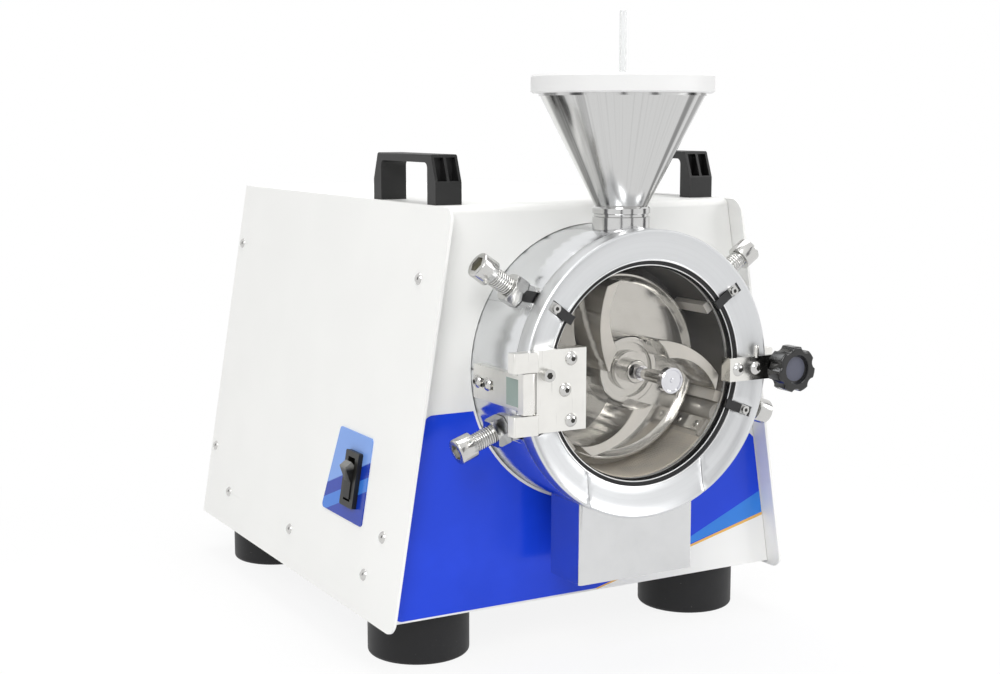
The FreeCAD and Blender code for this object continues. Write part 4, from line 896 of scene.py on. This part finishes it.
class Tree:
    """A geometry node tree under construction."""

    def __init__(self, name, inputs):
        self.group = bpy.data.node_groups.new(name, "GeometryNodeTree")
        self.keys = {}
        for label, kind in inputs.items():
            socket = self.group.interface.new_socket(label, in_out="INPUT", socket_type="NodeSocket" + kind)
            self.keys[label] = socket.identifier
        self.group.interface.new_socket("Geometry", in_out="OUTPUT", socket_type="NodeSocketGeometry")
        self.given = self.group.nodes.new("NodeGroupInput")

    def __getitem__(self, label):
        return self.given.outputs[label]

    def add(self, kind, settings=None, output=0, **values):
        made = self.group.nodes.new(kind)
        for name, setting in (settings or {}).items():
            setattr(made, name, setting)
        for key, value in values.items():
            place = int(key[1:]) if key.startswith("i") and key[1:].isdigit() else key.replace("_", " ")
            socket = made.inputs[place]
            if isinstance(value, bpy.types.NodeSocket):
                self.group.links.new(value, socket)
            else:
                socket.default_value = value
        return made.outputs[output]

    def maths(self, operation, first, second=0.0):
        return self.add("ShaderNodeMath", {"operation": operation}, i0=first, i1=second)

    def close(self, geometry):
        """Realise, paint and hand out the geometry."""
        real = self.add("GeometryNodeRealizeInstances", i0=geometry)
        paint = self.add("GeometryNodeSetMaterial", Geometry=real, Material=self["Finish"])
        out = self.group.nodes.new("NodeGroupOutput")
        self.group.links.new(paint, out.inputs[0])
        return self

    def grow(self, name, seed_mesh, values):
        """Run the tree on a mesh and return the result as a plain mesh."""
        carrier = linked(name + "_carrier", seed_mesh)
        modifier = carrier.modifiers.new("grow", "NODES")
        modifier.node_group = self.group
        for label, value in values.items():
            modifier[self.keys[label]] = value
        bpy.context.view_layer.update()
        ready = carrier.evaluated_get(bpy.context.evaluated_depsgraph_get())
        mesh = bpy.data.meshes.new_from_object(ready)
        mesh.name = name
        carrier.modifiers.remove(modifier)
        bpy.data.objects.remove(carrier)
        return mesh


def thread_tree():
    """A screw thread that rises from each point of the mesh along its outward arrow."""
    tree = Tree("screw_thread", {"Copies": "Geometry", "Radius": "Float", "Pitch": "Float",
                                 "Length": "Float", "Finish": "Material"})
    turns = tree.maths("DIVIDE", tree["Length"], tree["Pitch"])
    spiral = tree.add("GeometryNodeCurveSpiral", Resolution=22, Rotations=turns, Height=tree["Length"],
                      Start_Radius=tree["Radius"], End_Radius=tree["Radius"])
    ridge_radius = tree.maths("MULTIPLY", tree["Pitch"], 0.42)
    ridge = tree.add("GeometryNodeCurvePrimitiveCircle", Resolution=4, Radius=ridge_radius)
    sweep = tree.add("GeometryNodeCurveToMesh", Curve=spiral, Profile_Curve=ridge)
    arrow = tree.add("GeometryNodeInputNamedAttribute", {"data_type": "FLOAT_VECTOR"}, Name="outward")
    turned = tree.add("FunctionNodeAlignRotationToVector", {"axis": "Z"}, Vector=arrow)
    spread = tree.add("GeometryNodeInstanceOnPoints", Points=tree["Copies"], Instance=sweep,
                      Rotation=turned)
    return tree.close(spread)


def screen_tree():
    """Perforated sheet: one cell repeated on a grid, then bent round the chamber's axis."""
    tree = Tree("perforated_sheet", {"Cell": "Geometry", "Along": "Float", "Across": "Float",
                                     "Columns": "Int", "Rows": "Int", "Radius": "Float",
                                     "Finish": "Material"})
    grid = tree.add("GeometryNodeMeshGrid", Size_X=tree["Along"], Size_Y=tree["Across"],
                    Vertices_X=tree["Columns"], Vertices_Y=tree["Rows"])
    spread = tree.add("GeometryNodeInstanceOnPoints", Points=grid, Instance=tree["Cell"])
    sheet = tree.add("GeometryNodeRealizeInstances", i0=spread)
    joined = tree.add("GeometryNodeMergeByDistance", Geometry=sheet, Distance=0.00002)
    place = tree.add("GeometryNodeInputPosition")
    split = tree.group.nodes.new("ShaderNodeSeparateXYZ")
    tree.group.links.new(place, split.inputs[0])
    turn = tree.maths("DIVIDE", split.outputs[0], tree["Radius"])
    x = tree.maths("MULTIPLY", tree.maths("SINE", turn), tree["Radius"])
    z = tree.maths("MULTIPLY", tree.maths("COSINE", turn), tree["Radius"])
    down = tree.maths("MULTIPLY", z, -1.0)
    bent = tree.add("ShaderNodeCombineXYZ", i0=x, i1=split.outputs[1], i2=down)
    wrapped = tree.add("GeometryNodeSetPosition", Geometry=joined, Position=bent)
    return tree.close(wrapped)


def screw_angles():
    """Angles of the adjusting screws round the chamber's axis, from the middle of each quarter's points."""
    quarters = {}
    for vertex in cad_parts["adjusting_screws"].data.vertices:
        x, z = vertex.co.x, vertex.co.z - AXIS_Z
        quarters.setdefault((x > 0, z > 0), []).append((x, z))
    angles = []
    for points in quarters.values():
        x = sum(p[0] for p in points) / len(points)
        z = sum(p[1] for p in points) / len(points)
        angles.append(math.atan2(z, x))
    return angles


class MILL_OT_adjusting_screws(Step, bpy.types.Operator):
    """Cap screws and lock nuts with cut threads"""

    bl_idname = "mill.adjusting_screws"
    bl_label = "Adjusting screws"

    def build(self):
        wear(steel_bright(), "adjusting_screws", edge=0.0003)
        wear(finish_of("nut_steel", bright_metal, (0.54, 0.54, 0.53), 0.13), "lock_nuts", edge=0.0002)
        nut_face = HOUSE_RADIUS + 0.0101
        head_seat = 0.1238
        head_top = 0.136
        centre = Vector((0.0, middle("adjusting_screws").y, AXIS_Z))
        seeds = bpy.data.meshes.new("thread_seeds")
        arrows = [Vector((math.cos(a), 0.0, math.sin(a))) for a in screw_angles()]
        seeds.from_pydata([arrow * nut_face + centre for arrow in arrows], [], [])
        outward = seeds.attributes.new("outward", "FLOAT_VECTOR", "POINT")
        for index, arrow in enumerate(arrows):
            outward.data[index].vector = arrow
        values = {"Radius": 0.00585, "Pitch": sizes().thread_pitch, "Length": head_seat - nut_face,
                  "Finish": steel_bright().material}
        mesh = thread_tree().grow("adjusting_screw_threads", seeds, values)
        new_piece("adjusting_screw_threads", mesh, steel_bright(), "cabinet")

        # Black strips on the housing along each adjusting screw, from near the door back towards the nuts.
        def black_strips(work):
            half_width, narrowing = 0.0045, 0.8
            front, back = -0.2052, -0.1900
            sunk, proud = 0.0006, 0.0009
            for arrow in arrows:
                side = Vector((-arrow.z, 0.0, arrow.x)) * half_width
                rings = []
                for y in (front, back):
                    foot = arrow * (HOUSE_RADIUS - sunk) + Vector((0.0, y, AXIS_Z))
                    top = arrow * (HOUSE_RADIUS + proud) + Vector((0.0, y, AXIS_Z))
                    rings.append((foot - side, foot + side, top + side * narrowing, top - side * narrowing))
                prism(work, *rings)

        built_piece("housing_black_strips", black_strips, black_rubber(), "cabinet")
        # Painted shade: dark plugs in the sockets of the adjusting cap screws.
        socket_shade_finish = finish_of("socket_oil", moulded_plastic, (0.045, 0.040, 0.014), 0.35, 0.05)

        def plugs(work):
            rim, depth, corner = 0.0018, 0.0040, 0.00572
            for arrow in arrows:
                start = arrow * (head_top - rim) + centre
                socket_shade_plug(work, start, -arrow, depth, corner, ALONG_Y)

        built_piece("adjusting_socket_shade_paint", plugs, socket_shade_finish, "cabinet")


class MILL_OT_outlet_screen(Step, bpy.types.Operator):
    """Perforated screen over the outlet"""

    bl_idname = "mill.outlet_screen"
    bl_label = "Outlet screen"

    def build(self):
        pitch = sizes().screen_pitch
        hole = sizes().screen_hole / 2
        first = low("outlet_screen")
        last = high("outlet_screen")
        half_wall = 0.0004
        radius = AXIS_Z - first.z - half_wall
        span = 2 * math.asin(last.x / (radius + half_wall)) * radius
        columns = int(span / pitch)
        rows = int((last.y - first.y) / pitch)

        def cell(work):
            half = pitch / 2
            square = [(1, 0), (1, 1), (0, 1), (-1, 1), (-1, 0), (-1, -1), (0, -1), (1, -1)]
            outer = [work.verts.new((half * x, half * y, 0.0)) for x, y in square]
            turns = [math.radians(45 * k) for k in range(8)]
            inner = [work.verts.new((hole * math.cos(turn), hole * math.sin(turn), 0.0)) for turn in turns]
            for k in range(8):
                work.faces.new((outer[k], outer[(k + 1) % 8], inner[(k + 1) % 8], inner[k]))

        # Dust on the screen is painted lighter than the sample's colour, standing in for light that does
        # not reach it.
        dust = shade(colours().dust, 1.9)
        steel = finish_of("dusty_screen", dusty_metal, tuple(colours().steel), dust, 0.85)
        values = {"Along": pitch * (columns - 1), "Across": pitch * (rows - 1), "Columns": columns,
                  "Rows": rows, "Radius": radius, "Finish": steel.material}
        mesh = screen_tree().grow("perforated_screen", mesh_from("screen_cell", cell), values)
        mesh.transform(Matrix.Translation((0.0, (first.y + last.y) / 2, AXIS_Z)))
        piece = new_piece("perforated_screen", mesh, steel, "cabinet")
        wall = piece.modifiers.new("wall", "SOLIDIFY")
        wall.thickness = 0.0007
        wall.offset = 0.0
        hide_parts("outlet_screen")


class MILL_OT_inner_works(Step, bpy.types.Operator):
    """Motor, bearings and pulleys inside the cabinet"""

    bl_idname = "mill.inner_works"
    bl_label = "Inner works"

    def build(self):
        casting = finish_of("painted_casting", moulded_plastic, (0.06, 0.09, 0.12), 0.5, 0.3)
        wear(casting, "motor_housing", "bearing_housing")
        wear(steel_brushed(), "spindle_bearings", "motor_shaft")
        pulley = finish_of("turned_pulley", brushed_metal, (0.7, 0.7, 0.7), 0.35, 1)
        wear(pulley, "spindle_pulley", "motor_pulley")


class MILL_OT_studio(Step, bpy.types.Operator):
    """Camera, floor, lamps and world"""

    bl_idname = "mill.studio"
    bl_label = "Studio"

    def build(self):
        scene = bpy.context.scene
        scene.view_settings.view_transform = "Standard"
        lens = bpy.data.cameras.new("studio_camera")
        lens.sensor_width = 36.0
        lens.lens = 55.563
        lens.clip_start = 0.05
        lens.clip_end = 30.0
        camera = linked("studio_camera", lens)
        camera.location = (-0.58795, -1.06339, 0.37758)
        camera.rotation_euler = (math.radians(90.0 - 8.08), 0.0, math.radians(-29.27))
        scene.camera = camera
        self.floor()
        for name, place, width, height in (
                ("card_left", (-2.6, 0.2, 0.9), 0.9, 2.6),
                ("card_right", (2.3, -0.9, 0.9), 0.7, 2.6),
                ("card_front", (0.5, -2.9, 0.9), 0.45, 2.6),
                ("card_near", (-1.5, -2.6, 0.9), 0.35, 2.6)):
            self.card(name, place, width, height)
        self.lamp("key", (-1.6, -1.9, 1.9), 1.4, 35.0)
        self.lamp("fill", (1.9, -1.5, 1.1), 1.2, 17.0)
        self.lamp("top", (0.1, 0.2, 2.3), 1.6, 24.0)
        self.world(scene)

    def floor(self):
        def build(work):
            reach = 6.0
            corners = [(-reach, -reach), (reach, -reach), (reach, reach), (-reach, reach)]
            work.faces.new([work.verts.new((x, y, 0.0)) for x, y in corners])

        mesh = mesh_from("studio_floor", build)
        paper = Finish("studio_paper", (0.92, 0.92, 0.92), 0.9)
        glow = paper.tree.nodes.new("ShaderNodeEmission")
        glow.inputs["Color"].default_value = (1.0, 1.0, 1.0, 1.0)
        x, y, _ = paper.axes()
        away = (x * x + y * y).root()
        light_path = paper.tree.nodes.new("ShaderNodeLightPath")
        seen = Value(paper, light_path.outputs["Is Camera Ray"])
        shone = Value(paper, light_path.outputs["Is Glossy Ray"])
        white = (away.ramp(0.28, 0.60) * 0.12 + 0.88) * (seen + shone).clamped()
        paper.blend(white, paper.shader, glow)
        grain = paper.noise(300.0, 2.0)
        paper.coloured(grain, (0.92, 0.92, 0.92), (0.90, 0.90, 0.90))
        mesh.materials.append(paper.material)
        floor = linked("studio_floor", mesh)

    def card(self, name, place, width, height):
        """Dark standing card that shows only in reflections."""

        def build(work):
            out = Vector((place[0], place[1], 0.0)).normalized()
            across = Vector((-out.y, out.x, 0.0)) * width / 2
            up = Vector((0.0, 0.0, height / 2))
            centre = Vector(place)
            lower, upper = centre - up, centre + up
            corners = (lower - across, lower + across, upper + across, upper - across)
            work.faces.new([work.verts.new(corner) for corner in corners])

        mesh = mesh_from(name, build)
        mesh.materials.append(finish_of("dark_card", moulded_plastic, (0.10, 0.10, 0.105), 0.9).material)
        card = linked(name, mesh)
        card.visible_camera = False
        card.visible_diffuse = False
        card.visible_shadow = False
        card.visible_transmission = False

    def lamp(self, name, place, size, power):
        """Round lamp that points at the mill's middle."""
        data = bpy.data.lights.new(name, "AREA")
        data.shape = "DISK"
        data.size = size
        data.energy = power
        lamp = linked(name, data)
        lamp.location = place
        aim = Vector((0.0, 0.0, 0.2)) - Vector(place)
        lamp.rotation_euler = aim.to_track_quat("-Z", "Y").to_euler()

    def world(self, scene):
        """White where a ray sees it, and half as bright where it only lights."""
        world = bpy.data.worlds.new("studio_world")
        scene.world = world
        world.use_nodes = True
        tree = world.node_tree
        back = tree.nodes["Background"]
        back.inputs["Color"].default_value = (1.0, 1.0, 1.0, 1.0)
        path = tree.nodes.new("ShaderNodeLightPath")
        seen = path.outputs["Is Camera Ray"]
        for name in ("Is Glossy Ray", "Is Transmission Ray"):
            most = tree.nodes.new("ShaderNodeMath")
            most.operation = "MAXIMUM"
            tree.links.new(seen, most.inputs[0])
            tree.links.new(path.outputs[name], most.inputs[1])
            seen = most.outputs[0]
        level = tree.nodes.new("ShaderNodeMix")
        level.inputs[2].default_value = 0.5
        level.inputs[3].default_value = 1.0
        tree.links.new(seen, level.inputs[0])
        tree.links.new(level.outputs[0], back.inputs["Strength"])


OPERATORS = (
    MILL_OT_cabinet,
    MILL_OT_front_film,
    MILL_OT_switch,
    MILL_OT_handles,
    MILL_OT_chamber,
    MILL_OT_hinge_and_latch,
    MILL_OT_rotor,
    MILL_OT_chute,
    MILL_OT_hopper,
    MILL_OT_adjusting_screws,
    MILL_OT_outlet_screen,
    MILL_OT_inner_works,
    MILL_OT_studio,
)


class MILL_PT_pieces(bpy.types.Panel):
    """Lists the mill's operators and their sizes"""

    bl_label = "Cyclone mill"
    bl_idname = "MILL_PT_pieces"
    bl_space_type = "VIEW_3D"
    bl_region_type = "UI"
    bl_category = "Mill"

    def draw(self, context):
        for operator in OPERATORS:
            self.layout.operator(operator.bl_idname)
        for group in (context.scene.mill_sizes, context.scene.mill_colours):
            for name in group.bl_rna.properties.keys():
                if name not in ("rna_type", "name"):
                    self.layout.prop(group, name)


CLASSES = (MillSizes, MillColours) + OPERATORS + (MILL_PT_pieces,)


def register():
    for item in CLASSES:
        bpy.utils.register_class(item)
    bpy.types.Scene.mill_sizes = PointerProperty(type=MillSizes)
    bpy.types.Scene.mill_colours = PointerProperty(type=MillColours)


def unregister():
    del bpy.types.Scene.mill_colours
    del bpy.types.Scene.mill_sizes
    for item in reversed(CLASSES):
        bpy.utils.unregister_class(item)


def main():
    register()
    for operator in OPERATORS:
        group, name = operator.bl_idname.split(".")
        getattr(getattr(bpy.ops, group), name)()


if __name__ == "__main__":
    main()
